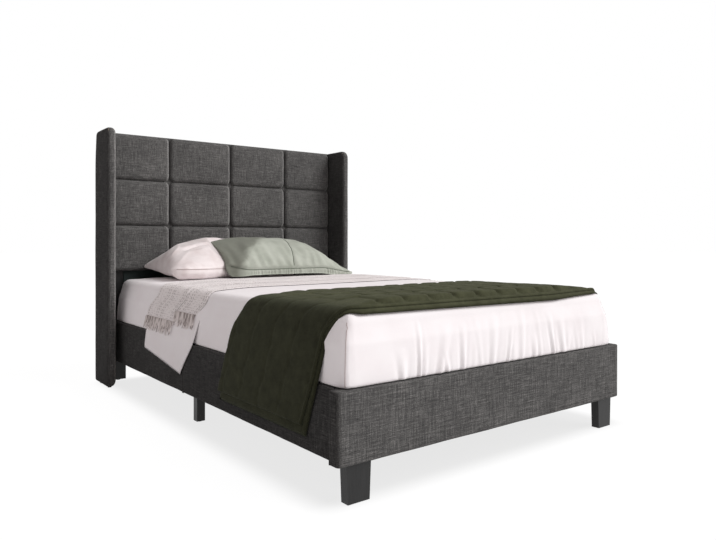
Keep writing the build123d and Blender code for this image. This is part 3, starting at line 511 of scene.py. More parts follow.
# %% [markdown]
# ## The headboard's padding
#
# The headboard is a board with foam on it, and cloth pulled down in a grid of seams, which leaves
# twelve soft squares. It could be inflated as cloth, but a quilter pulls every seam to the same
# depth, and that is easier to keep by shape: a fine grid per square, its middle raised on a round
# shoulder, with small puckers that fan out where the seams cross.

# %% Padded headboard
pad_low, pad_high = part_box("headboard_padding")
column_line = 0.351
column_lines = (pad_low.x, -column_line, 0.0, column_line, pad_high.x)
pad_rows = 3
row_height = (pad_high.z - pad_low.z) / pad_rows
tuft_rise = 0.0235
tuft_corner = 0.030
board_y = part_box("headboard_board")[0].y


def shoulder(distance, radius):
    """How far a padded face has risen at a distance from its seam: a quarter round, then level."""
    share = clamp(distance / radius)
    return math.sqrt(1 - (1 - share) ** 2)


def beside_seam(near, reach, start):
    """Strongest just beside a seam: 0 on it, full from start on, and gone beyond its reach."""
    return math.exp(-near / reach) * shoulder(near, start)


def in_corner(across, upright, corner):
    """How far a place is from two seams that meet, with their corner rounded."""
    if across < corner and upright < corner:
        return max(0.0, corner - math.hypot(corner - across, corner - upright))
    return min(across, upright)


def tuft_depth(x, z, x0, x1, z0, z1):
    """How far the cloth stands out at a place on one square."""
    across = min(x - x0, x1 - x)
    upright = min(z - z0, z1 - z)
    near = in_corner(across, upright, tuft_corner)
    rise = 0.68 * shoulder(near, 0.021) + 0.12 * shoulder(near, 0.055)
    middle_x = math.sin(math.pi * (x - x0) / (x1 - x0))
    middle_z = math.sin(math.pi * (z - z0) / (z1 - z0))
    rise += 0.20 * max(0.0, middle_x * middle_z) ** 0.6
    seam = beside_seam(near, 0.020, 0.006)
    pucker = wave((x, 0, z), 38, 2) * 0.0030 * seam
    lumps = wave((x, 0, z), 9, 5) * 0.0014 * shoulder(near, 0.06)
    return tuft_rise * rise + pucker + lumps


def tufted_pad():
    """The whole padded face with its sides, closed at the back."""
    bm = bmesh.new()
    slab = pad_low.y + tuft_rise
    for x0, x1 in zip(column_lines, column_lines[1:]):
        for row in range(pad_rows):
            z0 = pad_low.z + row * row_height
            z1 = z0 + row_height
            for vert in grid(bm, 64, 46):
                # The grid is finer near the seams, where the cloth turns most.
                a, b = (math.sin(c * math.pi) * 0.66 + c * 2 * 0.34 for c in vert.co.xy)
                x = x0 + (a + 1) / 2 * (x1 - x0)
                z = z0 + (b + 1) / 2 * (z1 - z0)
                vert.co = (x, slab - tuft_depth(x, z, x0, x1, z0, z1), z)
    bmesh.ops.remove_doubles(bm, verts=bm.verts, dist=0.0004)
    rim = [edge for edge in bm.edges if edge.is_boundary]
    for item in bmesh.ops.extrude_edge_only(bm, edges=rim)["geom"]:
        if isinstance(item, bmesh.types.BMVert):
            item.co.y = board_y
    bmesh.ops.contextual_create(bm, geom=[e for e in bm.edges if e.is_boundary])
    bmesh.ops.recalc_face_normals(bm, faces=bm.faces)
    return bm


pad = piece("tufted_padding", tufted_pad(), upholstery, "frame",
            ("headboard_padding",))

# %% [markdown]
# The cloth turns round the headboard's edges and is stapled behind. That border is a flat ring,
# made from a box without its front and back, with a thickness.

# %% Cloth round the headboard's edge
def open_box(low, high, missing):
    """A box without the sides that face the given ways."""
    bm = bmesh.new()
    bmesh.ops.create_cube(bm, size=1)
    bmesh.ops.scale(bm, vec=high - low, verts=bm.verts)
    bmesh.ops.translate(bm, vec=(low + high) / 2, verts=bm.verts)
    gone = [face for face in bm.faces if any(face.normal.dot(Vector(way)) > 0.9 for way in missing)]
    bmesh.ops.delete(bm, geom=gone, context="FACES_ONLY")
    return bm


def edge_border():
    """The ring of cloth round the headboard's edges."""
    low = Vector((pad_low.x, board_y - 0.001, pad_low.z))
    bm = open_box(low, pad_high, ((0, 1, 0), (0, -1, 0)))
    corners = [edge for edge in bm.edges if not edge.is_boundary]
    rounded(bm, corners, 0.002, 3)
    return bm


border = piece("headboard_border", edge_border(), upholstery, "frame", smooth=False)
thicken(border, 0.0015)

# %% [markdown]
# ## Wings and rails
#
# Wings and rails are boards wrapped in thin foam and the same cloth. A rounded box is nearly
# right; what makes it look upholstered is a slight swell between the edges and small pulls along
# them. So each box is bevelled, cut into a grid and then moved a little by noise. At each end of
# the foot rail the cloth is turned in behind the board, where the side rails leave it in view.

# %% Wrapped boards
board_swell = 0.0009
rail_cloth_thick = 0.0028


def sliced(bm, low, high, pitch):
    """Cuts the mesh into a grid of squares, so that it can swell."""
    for axis in range(3):
        count = int((high[axis] - low[axis]) / pitch)
        for step in range(1, count):
            at = Vector((0, 0, 0))
            at[axis] = low[axis] + step * (high[axis] - low[axis]) / count
            way = Vector((0, 0, 0))
            way[axis] = 1
            bmesh.ops.bisect_plane(bm, geom=bm.verts[:] + bm.edges[:] + bm.faces[:], plane_co=at,
                                   plane_no=way, dist=0.0002)


def softened(bm, seed):
    """Moves the cloth in and out a little along its own facing."""
    bm.normal_update()
    for vert in bm.verts:
        lump = wave(vert.co, 7, seed) + 0.5 * wave(vert.co, 23, seed + 3)
        vert.co += vert.normal * board_swell * (lump - 0.6)


def wing(side):
    """One wing: flat sides, a rounded front edge, top and bottom."""
    low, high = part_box("wing_cover_" + side)
    bm = open_box(low, high, ())
    front = [e for e in bm.edges if all(abs(v.co.y - low.y) < 1e-5 for v in e.verts)
             and abs(e.verts[0].co.x - e.verts[1].co.x) > 0.01]
    rounded(bm, front, radius=0.042, steps=10)
    behind = [e for e in bm.edges
              if all(abs(v.co.y - high.y) < 1e-5 and v.co.z > high.z - 1e-5 for v in e.verts)]
    rounded(bm, behind, radius=0.028, steps=6)
    rim = []
    for edge in bm.edges:
        flat_sides = [f for f in edge.link_faces if abs(f.normal.x) > 0.9]
        middle = (edge.verts[0].co + edge.verts[1].co) / 2
        if len(flat_sides) == 1 and middle.y < high.y - 1e-4:
            rim.append(edge)
    rounded(bm, rim, radius=0.017, steps=6)
    sliced(bm, low, high, 0.03)
    softened(bm, 11 if side == "left" else 17)
    for vert in bm.verts:
        vert.co.y = min(vert.co.y, high.y)
    return bm


for side in ("left", "right"):
    made = piece("wing_" + side, wing(side), upholstery, "frame",
                 ("wing_cover_" + side,))


def wrapped_rail(name, missing, radius, upright_radius, seed):
    """The cloth and foam over a rail board: open where the board shows."""
    low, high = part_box(name)
    bm = open_box(low, high, missing)
    corners = [e for e in bm.edges
               if not e.is_boundary and abs(e.verts[0].co.z - e.verts[1].co.z) > 0.01]
    rounded(bm, corners, upright_radius, 6)
    sharp = [e for e in bm.edges if len(e.link_faces) == 2 and e.calc_face_angle() > 0.6]
    rounded(bm, sharp, radius, 4)
    sliced(bm, low, high, 0.025)
    softened(bm, seed)
    return bm


for seed, side, inwards in ((20, "left", (1, 0, 0)), (21, "right", (-1, 0, 0))):
    for half in ("front", "rear"):
        name = f"side_rail_cover_{side}_{half}"
        cloth = wrapped_rail(name, (inwards,), radius=0.006, upright_radius=0.003, seed=seed)
        made = piece(f"rail_cloth_{side}_{half}", cloth, upholstery, "frame",
                     (name,))
        thicken(made, rail_cloth_thick)


def foot_rail():
    """The foot rail's cloth, with a flap at each end that is turned in behind the board."""
    bm = wrapped_rail("foot_rail_cover", ((0, 1, 0),), radius=0.0055, upright_radius=0.014,
                      seed=31)
    low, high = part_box("foot_rail_cover")
    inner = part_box("side_rail_cover_right_front")[1].x + 0.0004
    outer = high.x - 0.001
    for side in (-1, 1):
        for vert in grid(bm, 3, 20):
            x = side * (inner + outer) / 2 - vert.co.x * (outer - inner)
            z = (low.z + high.z) / 2 + vert.co.y * (high.z - low.z - 0.002)
            vert.co = (x, high.y + 0.0004, z)
    return bm


foot_cloth = piece("foot_rail_cloth", foot_rail(), upholstery, "frame",
                   ("foot_rail_cover",))
thicken(foot_cloth, rail_cloth_thick)

# %% [markdown]
# ## Mattress and fitted sheet
#
# The mattress is a block with rounded top edges and full sides. One grid covers it from hem to
# hem: the grid's outer rings become the sides and the round of the top edge, and the rest is
# the top. Kept as rings, the sides can swell and the corners stay round at every level.

# %% Mattress form
tuck_share = 0.158
side_shares = (0.0, tuck_share, 0.1605, 0.165, 0.18, 0.62, 0.744, 0.816)
side_swells = (0.0, 0.0, 0.80, 0.93, 1.0, 1.0, 0.65, 0.45)
fullness = 0.018
mattress_half = 0.600
mattress_foot = foot_face + 0.044
mattress_head = mattress_high.y
thick = mattress_high.z - mattress_low.z


def mattress_rings(bottom, side_rings, roll_rings):
    """From the hem up and over the top edge: how far out the side is, how far in, and the level."""
    rings = []
    tuck = mattress_low.z + tuck_share * thick
    levels = [bottom, tuck, tuck + 0.0006, tuck + 0.0015, tuck + 0.0045, tuck + 0.010]
    levels += list(np.linspace(tuck + 0.016, roll_z, side_rings, endpoint=False))
    for z in levels:
        share = (z - mattress_low.z) / thick
        rings.append((np.interp(share, side_shares, side_swells) * fullness, 0.0, z))
    for step in range(roll_rings + 1):
        angle = math.pi / 2 * step / roll_rings
        inset = roll * (1 - math.cos(angle))
        rings.append((roll_half - mattress_half - inset, inset, roll_z + roll * math.sin(angle)))
    return rings


def crown_rise(share):
    """How far the mattress's top has risen to its crown, from a share of the way in."""
    return crown * (1 - (1 - max(0, share)) ** 2)


def unwrap(faces, layer, cut):
    """Writes each point's place on the flat cut, in metres, to its faces."""
    for face in faces:
        for loop in face.loops:
            loop[layer].uv = cut[loop.vert]


def block_form(across, along, rings, grow=0, shape=None):
    """A grid laid over the block from hem to hem. shape moves each point once it is in place."""
    bm = bmesh.new()
    layer = bm.loops.layers.uv.new("Flat")
    count = len(rings) - 1
    cut = {}
    for vert in grid(bm, across, along):
        i = round((vert.co.x + 0.5) * across)
        j = round((vert.co.y + 0.5) * along)
        k = min(i, across - i, j, along - j)
        ring = min(k, count)
        out, inset, z = rings[ring]
        half_x = mattress_half + out + grow * (1 if k < count else 0)
        low_y = mattress_foot - out - grow
        high_y = mattress_head - inset + grow
        a = 2 * (i - ring) / (across - 2 * ring) - 1
        b = (j - ring) / (along - 2 * ring)
        x = a * half_x
        y = low_y + b * (high_y - low_y)
        radius = 0.025 + grow - inset / 2
        # The corner is rounded by drawing what lies past its centre onto its arc.
        cx = min(max(x, radius - half_x), half_x - radius)
        cy = min(max(y, low_y + radius), high_y - radius)
        if k <= count and (x - cx) ** 2 + (y - cy) ** 2 > 1e-12 and cx != x and cy != y:
            way = Vector((x - cx, y - cy, 0)).normalized() * radius
            x, y = cx + way.x, cy + way.y
        level = z + grow
        if k >= count:
            share = min((roll_x - abs(x)) / crown_inset, (y - roll_y) / crown_end_inset,
                        (mattress_head - roll - y) / crown_end_inset, 1)
            level = edge_top + grow + crown_rise(share)
        elif z < roll_z:
            level = z
        cut[vert] = (x + (0.25 if x > 0 else -0.25) * (1 - level / edge_top), y)
        vert.co = (x, y, level)
        if shape:
            shape(vert.co, k < count)
    unwrap(bm.faces, layer, cut)
    return bm


mattress_bm = block_form(60, 90, mattress_rings(mattress_low.z, 7, 6))
bmesh.ops.contextual_create(mattress_bm, geom=[e for e in mattress_bm.edges if e.is_boundary])
mattress = piece("mattress_block", mattress_bm, bedding["ticking"], "mattress",
                 ("mattress",))

# %% [markdown]
# Seams show as a thread. It is a thin tube, made of small rings along points on the cloth. Its
# colour is darker than the cloth's: painted shade of the crease along the seam.

# %% Threads
thread_sides = 6


def stitched(name, points, radius, thread, body):
    """A seam's thread: a thin tube along points on a cloth."""
    bm = bmesh.new()
    rings = []
    last = len(points) - 1
    for number, point in enumerate(points):
        ahead = points[min(number + 1, last)] - points[max(number - 1, 0)]
        turn = ahead.to_track_quat("Z", "Y").to_matrix().to_4x4()
        turn.translation = point
        ring = bmesh.ops.create_circle(bm, segments=thread_sides, radius=radius,
                                       matrix=turn)["verts"]
        rings.append([edge for edge in bm.edges if all(vert in ring for vert in edge.verts)])
    for one, two in zip(rings, rings[1:]):
        bmesh.ops.bridge_loops(bm, edges=one + two)
    bmesh.ops.holes_fill(bm, edges=[edge for edge in bm.edges if edge.is_boundary])
    bmesh.ops.recalc_face_normals(bm, faces=bm.faces)
    piece(name, bm, bedding[thread], body)


# %% [markdown]
# The fitted sheet takes the mattress's form and adds what cloth does on it. Upright folds run up
# from where the sheet is tucked behind the foot rail and fade towards the top, the sides hang
# nearly smooth, and the top lies flat.

# %% Fitted sheet
fold_count = 21
folds = []
picker = np.random.default_rng(7)
for start in np.linspace(-0.43, 0.56, fold_count):
    middle, width = start + picker.uniform(-0.024, 0.024), picker.uniform(0.0045, 0.010)
    size, reach = picker.uniform(0.2, 1.0), picker.uniform(0.08, 0.21)
    folds.append((middle, width, size, reach, picker.uniform(-0.15, 0.30)))


def foot_folds(x, z):
    """How far the folds stand out at a place on the sheet's foot end."""
    height = 0.0
    for middle, width, size, reach, slant in folds:
        up = (z - shoulder_z + 0.02) / reach
        away = (x - middle - slant * (z - shoulder_z)) / (width * (1 + 0.8 * max(0, up)))
        if up < 1 and abs(away) < 3:
            ridge = math.exp(-away * away) - 0.45 * math.exp(-(abs(away) - 1.6) ** 2 * 2)
            height += size * (1 - max(0.0, up)) ** 0.9 * ridge
    return height


swell_from, swell_gone = 0.31, 0.50    # the levels between which the swell over the rails fades


def sheet_shape(point, is_side):
    """The mattress's form, swollen over the rails at its foot, with the sheet's folds."""
    if not is_side:
        return
    x, y, z = point
    at_foot = y < mattress_foot - 0.004
    low = 1 - ease(z, swell_from, swell_gone)
    low *= ease(z, shoulder_z - 0.0017, shoulder_z + 0.0004)
    if abs(x) > mattress_half:
        point.x += math.copysign(0.013 * low, x)
    if at_foot:
        point.y -= 0.012 * low
    if at_foot and abs(x) < mattress_half and z < edge_top:
        fade = ease(mattress_half - abs(x), 0.0, 0.05) * ease(edge_top - z, 0.0, 0.05)
        lift = 0.0095 * foot_folds(x, z) + 0.003 * wave((x, 0, z), 9, 4)
        lift = max(lift, -0.006 * low - 0.0005)
        point.y -= min(lift, 0.010) * fade * ease(z, shoulder_z - 0.0015, shoulder_z + 0.002)
    elif abs(x) > 0.59:
        hang = wave((0, y, z * 0.4), 11, 8) * 0.0009
        point.x += math.copysign(max(0.0, hang), x)


sheet_bm = block_form(340, 120, mattress_rings(mattress_low.z + 0.003, 24, 8), 0.0015, sheet_shape)
sheet = piece("fitted_sheet_cloth", sheet_bm, bedding["white_cotton"], "mattress",
              ("fitted_sheet",))
thicken(sheet, 0.001)


def corner_points(side):
    """Places up the sheet's corner at the foot, from its tuck to the round of the top edge."""
    points = []
    for low in np.arange(shoulder_z + 0.002, edge_top - 0.030, 0.006):
        near = [v.co for v in sheet.data.vertices
                if abs(v.co.z - low) < 0.004 and v.co.y < mattress_foot + 0.1]
        points.append(max(near, key=lambda co: side * co.x - co.y).copy())
    return points


for side, word in ((-1, "left"), (1, "right")):
    stitched("sheet_corner_" + word, corner_points(side), 0.0009, "white_thread_painted_shade", "mattress")

# %% [markdown]
# ## Cloths laid across the bed
#
# A throw lies across the bed, bends over the mattress's edge and hangs past the rail. Its shape
# is easiest as a path: one line from hem to hem, with the cloth's two edges given all along it.
# Every cloth follows the same line at its own distance, so they lie on each other as they should.

# %% The line across the bed
def bed_line(clear, left_hem, right_hem):
    """Points from the left hem to the right: length so far, x, z and the cloth's facing."""
    def half(side, hem):
        points = []
        for x in np.linspace(0.0, roll_x, 60):
            points.append((side * x, edge_top + clear, 0.0, 1.0))
        for angle in np.linspace(math.pi / 2, 0, 24)[1:]:
            radius = roll + clear
            out, up = side * math.cos(angle), math.sin(angle)
            points.append((side * roll_x + radius * out, roll_z + radius * up, out, up))
        for z in np.linspace(roll_z, hem, 60)[1:]:
            share = min(1.0, (roll_z - z) / (roll_z - shoulder_z))
            out = share * (rail_side - roll_half)
            points.append((side * (roll_half + clear + out), z, float(side), 0.0))
        return points

    line = half(-1, left_hem)[::-1] + half(1, right_hem)[1:]
    table = np.array(line)
    steps = np.hypot(np.diff(table[:, 0]), np.diff(table[:, 1]))
    return np.column_stack([np.concatenate([[0.0], np.cumsum(steps)]), table])


def along_line(line, s):
    """x, z and facing at a length along the line."""
    return [float(np.interp(s, line[:, 0], line[:, k])) for k in (1, 2, 3, 4)]


def laid(line, clear, s, y, out):
    """Where a cloth's point is: s along the line, y along the bed, and out from the line."""
    x, z, nx, nz = along_line(line, s)
    if abs(x) < roll_x:
        share = min((roll_x - abs(x)) / crown_inset, (y - roll_y) / crown_end_inset, 1)
        z += crown_rise(share)
    if y < roll_y:
        radius = roll + clear
        reach = min(roll_y - y, radius * 0.98)
        z -= nz * (radius - math.sqrt(radius ** 2 - reach ** 2))
    return Vector((x + nx * out, y, z + nz * out))


def edge_table(line, rows, smooth=0.03, step=0.004):
    """The two edges of a cloth for each length along its line, rounded where they turn."""
    lengths, *edges = zip(*sorted(rows))
    fine = np.arange(line[0, 0] - 0.1, line[-1, 0] + 0.1, step)
    kernel = np.hanning(2 * int(smooth / step) + 3)[1:-1]
    kernel /= kernel.sum()
    curves = []
    for edge in edges:
        values = np.pad(np.interp(fine, lengths, edge), len(kernel) // 2, mode="edge")
        curves.append(np.convolve(values, kernel, mode="valid"))
    return fine, *curves


def cloth_between(across, along, line, table, clear, thick_at, hem_rise=0.0):
    """A closed cloth: an inner face on its line, and an outer one that thick_at raises.

    hem_rise is how much higher the left hem's back corner hangs than its front one.
    """
    fine, front_curve, back_curve = table
    bm = bmesh.new()
    layer = bm.loops.layers.uv.new("Flat")
    for outer in (False, True):
        before = set(bm.faces)
        cut = {}
        for vert in grid(bm, across, along):
            a, b = vert.co.x + 0.5, vert.co.y + 0.5
            rim = min(a, 1 - a) < 1e-6 or min(b, 1 - b) < 1e-6
            first = line[0, 0] + b * hem_rise
            s = first + a * (line[-1, 0] - first)
            front = float(np.interp(s, fine, front_curve)) + foot_face
            back = float(np.interp(s, fine, back_curve)) + foot_face
            y = front + b * (back - front)
            edge = min(s - first, line[-1, 0] - s, y - front, back - y)
            out = thick_at(s, y, edge, y - front) if outer and not rim else 0.0
            vert.co = laid(line, clear, s, y, out)
            cut[vert] = (s, y - front)
        faces = [face for face in bm.faces if face not in before]
        unwrap(faces, layer, cut)
        if not outer:
            bmesh.ops.reverse_faces(bm, faces=faces)
    bmesh.ops.remove_doubles(bm, verts=bm.verts, dist=1e-5)
    return bm


def level_length(line, z):
    """How far along the line a level on its left side lies."""
    levels = line[line[:, 1] < 0]
    order = np.argsort(levels[:, 2])
    return float(np.interp(z, levels[order, 2], levels[order, 0]))


def place_length(line, x):
    """How far along the line a place across the top lies."""
    return float(np.interp(x, line[:, 1], line[:, 0]))


def joined(bm, other):
    """A work mesh with another one added to it."""
    mesh = as_mesh(other, "lap")
    bm.from_mesh(mesh)
    bpy.data.meshes.remove(mesh)
    return bm


longest = bed_line(sheet_clear, 0.15, 0.428)[-1, 0]
print("line across the bed:", round(float(longest), 3), "m")

# %% [markdown]
# The flat sheet under the knitted throw shows as a smooth band with one corner hanging over
# the rail. It is thin, so its outer face is only the inner one moved out and rounded at the rim.

# %% Flat sheet
def thin(thickness):
    """A cloth of even thickness with a rounded rim."""
    def thick_at(s, y, edge, from_front):
        return thickness * shoulder(edge, thickness * 1.5)
    return thick_at


flat_line = bed_line(sheet_clear, 0.178, 0.330)


def flat_sheet():
    """The flat sheet with its hanging corner."""
    start, end = flat_line[0, 0], flat_line[-1, 0]
    rail = level_length(flat_line, shoulder_z)
    rows = ((start, 1.090, 1.493), (start + 0.055, 1.040, 1.494), (rail, 0.962, 1.470),
            (rail + 0.12, 0.940, 1.445), (rail + 0.2, 0.935, 1.440), (end, 0.935, 1.440))
    return cloth_between(150, 50, flat_line, edge_table(flat_line, rows), sheet_clear,
                         thin(0.0014), hem_rise=0.055)


flat_piece = piece("flat_sheet", flat_sheet(), bedding["white_cotton"], "top_sheet",
                   ("top_sheet",))

# %% [markdown]
# The knitted throw is folded: a wide lap below and a narrower one over its back part. Both follow
# the line, one thickness apart, and end in a fringe of twisted strands.

# %% Knitted throw
knit_thick = 0.0026
knit_clear = sheet_clear + 0.0017
over_clear = knit_clear + knit_thick
wide_hem, narrow_hem, right_hem = 0.415, 0.372, 0.362
wide_line = bed_line(knit_clear, wide_hem, right_hem)
narrow_line = bed_line(over_clear, narrow_hem, right_hem)


def ribbed(s, y, edge, from_front):
    """The thickness of the knit, with low ribs across it."""
    return thin(knit_thick)(s, y, edge, from_front) * (1 + 0.12 * math.sin(y * 400))


def knitted():
    """Both laps in one mesh."""
    start, mid, end = wide_line[0, 0], place_length(wide_line, 0), wide_line[-1, 0]
    rows = ((start, 0.985, 1.486), (start + 0.06, 0.905, 1.40), (mid, 0.915, 1.415),
            (end, 0.955, 1.465))
    lap = cloth_between(200, 70, wide_line, edge_table(wide_line, rows), knit_clear, ribbed)
    start, mid, end = narrow_line[0, 0], place_length(narrow_line, 0), narrow_line[-1, 0]
    fold = level_length(narrow_line, wide_hem)
    rows = ((start, 1.180, 1.486), (fold, 1.180, 1.486), (fold + 0.06, 1.095, 1.40),
            (mid, 1.095, 1.415), (end, 1.095, 1.465))
    over = cloth_between(200, 44, narrow_line, edge_table(narrow_line, rows), over_clear, ribbed)
    return joined(lap, over)


throw = piece("knitted_throw", knitted(), bedding["knit"], "lace_throw", ("lace_throw",))

# %% [markdown]
# Each strand of the fringe is a short tapered tube that hangs from the hem with its own small
# sway. They repeat many times, so each has few faces.

# %% Fringe
strand_pitch = 0.0085
strand_steps = 4


def strand(bm, top, length, sway, radius):
    """One hanging strand: a hexagon drawn down in steps, thinner and swayed further each time."""
    ring = bmesh.ops.create_circle(bm, cap_ends=True, segments=6, radius=radius)["verts"]
    bmesh.ops.translate(bm, vec=top, verts=ring)
    face = ring[0].link_faces[0]
    for step in range(1, strand_steps + 1):
        down = step / strand_steps
        grown = bmesh.ops.extrude_face_region(bm, geom=[face])["geom"]
        if step > 1:
            bmesh.ops.delete(bm, geom=[face], context="FACES_ONLY")
        face = [item for item in grown if isinstance(item, bmesh.types.BMFace)][0]
        middle = face.calc_center_median()
        aim = top + Vector((-0.228 * length * down, sway * down * down, -0.975 * length * down))
        for vert in face.verts:
            vert.co = aim + (vert.co - middle) * (0.93 if step < strand_steps else 0.6)


def fringe_row(bm, line, hem, y0, y1, seed):
    """A row of strands along the left hem."""
    x = along_line(line, level_length(line, hem))[0] - 0.0040
    count = int((y1 - y0) / strand_pitch)
    pick = np.random.default_rng(seed)
    for number in range(count + 1):
        y = y0 + (y1 - y0) * number / count + foot_face
        top = Vector((x, y, hem + 0.005))
        strand(bm, top, length=pick.uniform(0.050, 0.062), sway=pick.uniform(-0.013, 0.013),
               radius=pick.uniform(0.0019, 0.0030))


def fringe():
    """Both rows."""
    bm = bmesh.new()
    fringe_row(bm, wide_line, wide_hem, 0.990, 1.178, 3)
    fringe_row(bm, narrow_line, narrow_hem, 1.184, 1.482, 5)
    return bm


piece("throw_fringe", fringe(), bedding["yarn"], "lace_throw")

# %% [markdown]
# ## The quilted throw
#
# A quilted throw is two cloths with wadding between them, sewn through in lines, so that it puffs
# up in pockets. It lies folded: a plain layer underneath, and the quilted one on it with a corded
# border. On top of the bed the pockets are full; where it hangs, its weight pulls them flat.

# %% Quilt edges
quilt_layer = 0.005
quilt_right_hem = 0.428
quilt_under = bed_line(sheet_clear, 0.150, quilt_right_hem)
quilt_over = bed_line(sheet_clear + quilt_layer, 0.180, quilt_right_hem)
# The front and back edges at levels of the hanging part, and at angles of the mattress's round.
hang_rows = ((0.150, 0.176, 0.733), (0.310, 0.116, 0.672), (0.391, 0.110, 0.667),
             (0.431, 0.108, 0.652), (0.455, 0.101, 0.632))
corner_rows = ((0, 0.090, 0.618), (22.5, 0.072, 0.600), (45, 0.058, 0.590),
               (67.5, 0.046, 0.575), (90, 0.036, 0.562))


def quilt_edges(line, step):
    """The quilt's front and back edges from hem to hem."""
    rows = [(level_length(line, z), front + step, back) for z, front, back in hang_rows]
    left_top = place_length(line, -roll_x)
    right_top = place_length(line, roll_x)
    quarter = level_length(line, roll_z) - left_top
    for angle, front, back in corner_rows:
        share = angle / 90
        rows.append((left_top + quarter * (1 - share), front + step, back))
        right_front = 0.066 - 0.040 * share + 0.014 * share * share
        rows.append((right_top - quarter * (1 - share), right_front + step,
                     0.592 - 0.05 * (1 - share)))
    rows.append((place_length(line, -0.3), 0.034 + step, 0.562))
    rows.append((place_length(line, 0.3), 0.030 + step, 0.580))
    rows.append((line[-1, 0], 0.100 + step, 0.530))
    return edge_table(line, rows, smooth=0.024)


# %% [markdown]
# The pockets lie in rows, each row half a pocket along from the one before, like bricks. Near a
# seam the cloth dips steeply, so each pocket's height is a round shoulder from its own four seams.

# %% Quilt pockets
border_wide = 0.013
pockets_from = 0.018
pockets_across, pockets_along = 11, 4
pocket_wide = 2 * roll_x / pockets_across
pocket_deep = (0.562 - 0.0375 - border_wide - pockets_from) / pockets_along
pocket_corner = 0.030


def pocket_height(s, from_front, middle_s):
    """The height of the stuffing at a place, from 0 on a seam to 1."""
    if from_front < pockets_from:
        return 0.0
    row, b = divmod(from_front - pockets_from, pocket_deep)
    a = ((s - middle_s) / pocket_wide + 0.5 + 0.5 * (row % 2)) % 1 * pocket_wide
    near = in_corner(min(a, pocket_wide - a), min(b, pocket_deep - b), pocket_corner)
    return 0.72 * shoulder(near, 0.013) + 0.28 * shoulder(near, 0.05)


def quilted(line):
    """How thick the quilted layer is at each place."""
    left_top, middle_s, right_top = (place_length(line, x) for x in (-roll_x, 0, roll_x))

    def thick_at(s, y, edge, from_front):
        full = ease(s, left_top + 0.01, left_top + 0.15)
        full *= 1 - 0.8 * ease(s, right_top - 0.24, right_top + 0.01)
        stuffing = (0.0150 - 0.0085 * ease(from_front, 0.10, 0.45)) * full + 0.0024 * (1 - full)
        height = stuffing * pocket_height(s, from_front, middle_s)
        cord = shoulder(border_wide / 2 - abs(from_front - border_wide / 2), 0.005) * 0.0045
        crease = 0.0012 * wave((s, y, 0), 30, 3) * full
        flare = 0.020 * ease(s, right_top + 0.028, right_top + 0.085)
        flare *= 1 - ease(from_front, 0.03, 0.25)
        thick = 0.0014 + 0.0022 * (1 - full) + height + cord + crease + flare
        return thick * shoulder(edge, 0.004)
    return thick_at


def padded_plain(s, y, edge, from_front):
    """The plain layer, with a soft rolled rim."""
    return (quilt_layer - 0.0004) * shoulder(edge, 0.006)


def quilt():
    """Both layers in one mesh."""
    under = cloth_between(150, 40, quilt_under, quilt_edges(quilt_under, 0), sheet_clear,
                          padded_plain)
    over = cloth_between(340, 110, quilt_over, quilt_edges(quilt_over, border_wide),
                         sheet_clear + quilt_layer, quilted(quilt_over))
    return joined(under, over)


quilt_piece = piece("olive_quilt", quilt(), bedding["olive_quilt"], "quilt_throw",
                    ("quilt_throw",))

# %% [markdown]
# ## Pillows
#
# A pillow is a closed bag: two cloths sewn together round a rim. Each cloth is a grid that stands
# out from the rim's own surface, steeply at first and then nearly level, and bulges a little past
# the rim, so that the seam lies in a crease. A cloth simulation with a little pressure and no
# gravity then lets it settle, and it is stopped before it leaves its place.

# %% Sewn bags
cloth_frames = 16
cloth_pressure = 2.0
settle_cap = 0.003


def bag(name, across, along, rim, top, under, floor_z):
    """The bag's mesh: both cloths stand out from the rim, and stay above a level."""
    bm = bmesh.new()
    for way, height in ((1, top), (-1, under)):
        before = set(bm.faces)
        for vert in grid(bm, across, along):
            u, v = (0.5 + 0.5 * (0.6 * math.sin(c * math.pi) + 0.8 * c) for c in vert.co.xy)
            vert.co = rim(u, v) + height(u, v)
            vert.co.z = max(vert.co.z, floor_z)
        if way < 0:
            bmesh.ops.reverse_faces(bm, faces=[face for face in bm.faces if face not in before])
    bmesh.ops.remove_doubles(bm, verts=bm.verts, dist=2e-5)
    return as_mesh(bm, name)


def inflated(mesh, floor_z):
    """The mesh after a short cloth simulation, held within a small cap of where it began."""
    scene = bpy.context.scene
    body = bpy.data.objects.new("inflating", mesh)
    scene.collection.objects.link(body)
    start = np.array([v.co for v in mesh.vertices])
    cloth = body.modifiers.new("cloth", "CLOTH")
    settings = {"use_pressure": True, "uniform_pressure_force": cloth_pressure, "quality": 5,
                "mass": 0.3, "tension_stiffness": 15, "compression_stiffness": 15,
                "bending_stiffness": 0.4, "shrink_min": -0.03}
    for key, value in settings.items():
        setattr(cloth.settings, key, value)
    cloth.settings.effector_weights.gravity = 0
    cloth.point_cache.frame_start = 1
    cloth.point_cache.frame_end = cloth_frames
    for number in range(1, cloth_frames + 1):
        scene.frame_set(number)
    settled = body.evaluated_get(bpy.context.evaluated_depsgraph_get())
    done = bpy.data.meshes.new_from_object(settled)
    scene.frame_set(1)
    bpy.data.objects.remove(body)
    moved = np.array([v.co for v in done.vertices]) - start
    moved -= moved.mean(axis=0)
    lengths = np.linalg.norm(moved, axis=1)
    moved *= (np.minimum(lengths, settle_cap) / np.maximum(lengths, 1e-9))[:, None]
    end = start + moved
    end[:, 2] = np.maximum(end[:, 2], floor_z)
    done.vertices.foreach_set("co", end.ravel())
    done.update()
    print("inflated: moved up to", round(float(lengths.max()) * 1000, 1), "mm")
    return done


def on_cloth(made, points):
    """The places on a finished piece that lie nearest to some points."""
    tree = BVHTree.FromObject(made, bpy.context.evaluated_depsgraph_get())
    found = [tree.find_nearest(point) for point in points]
    return [spot + 0.0006 * normal for spot, normal, number, distance in found]


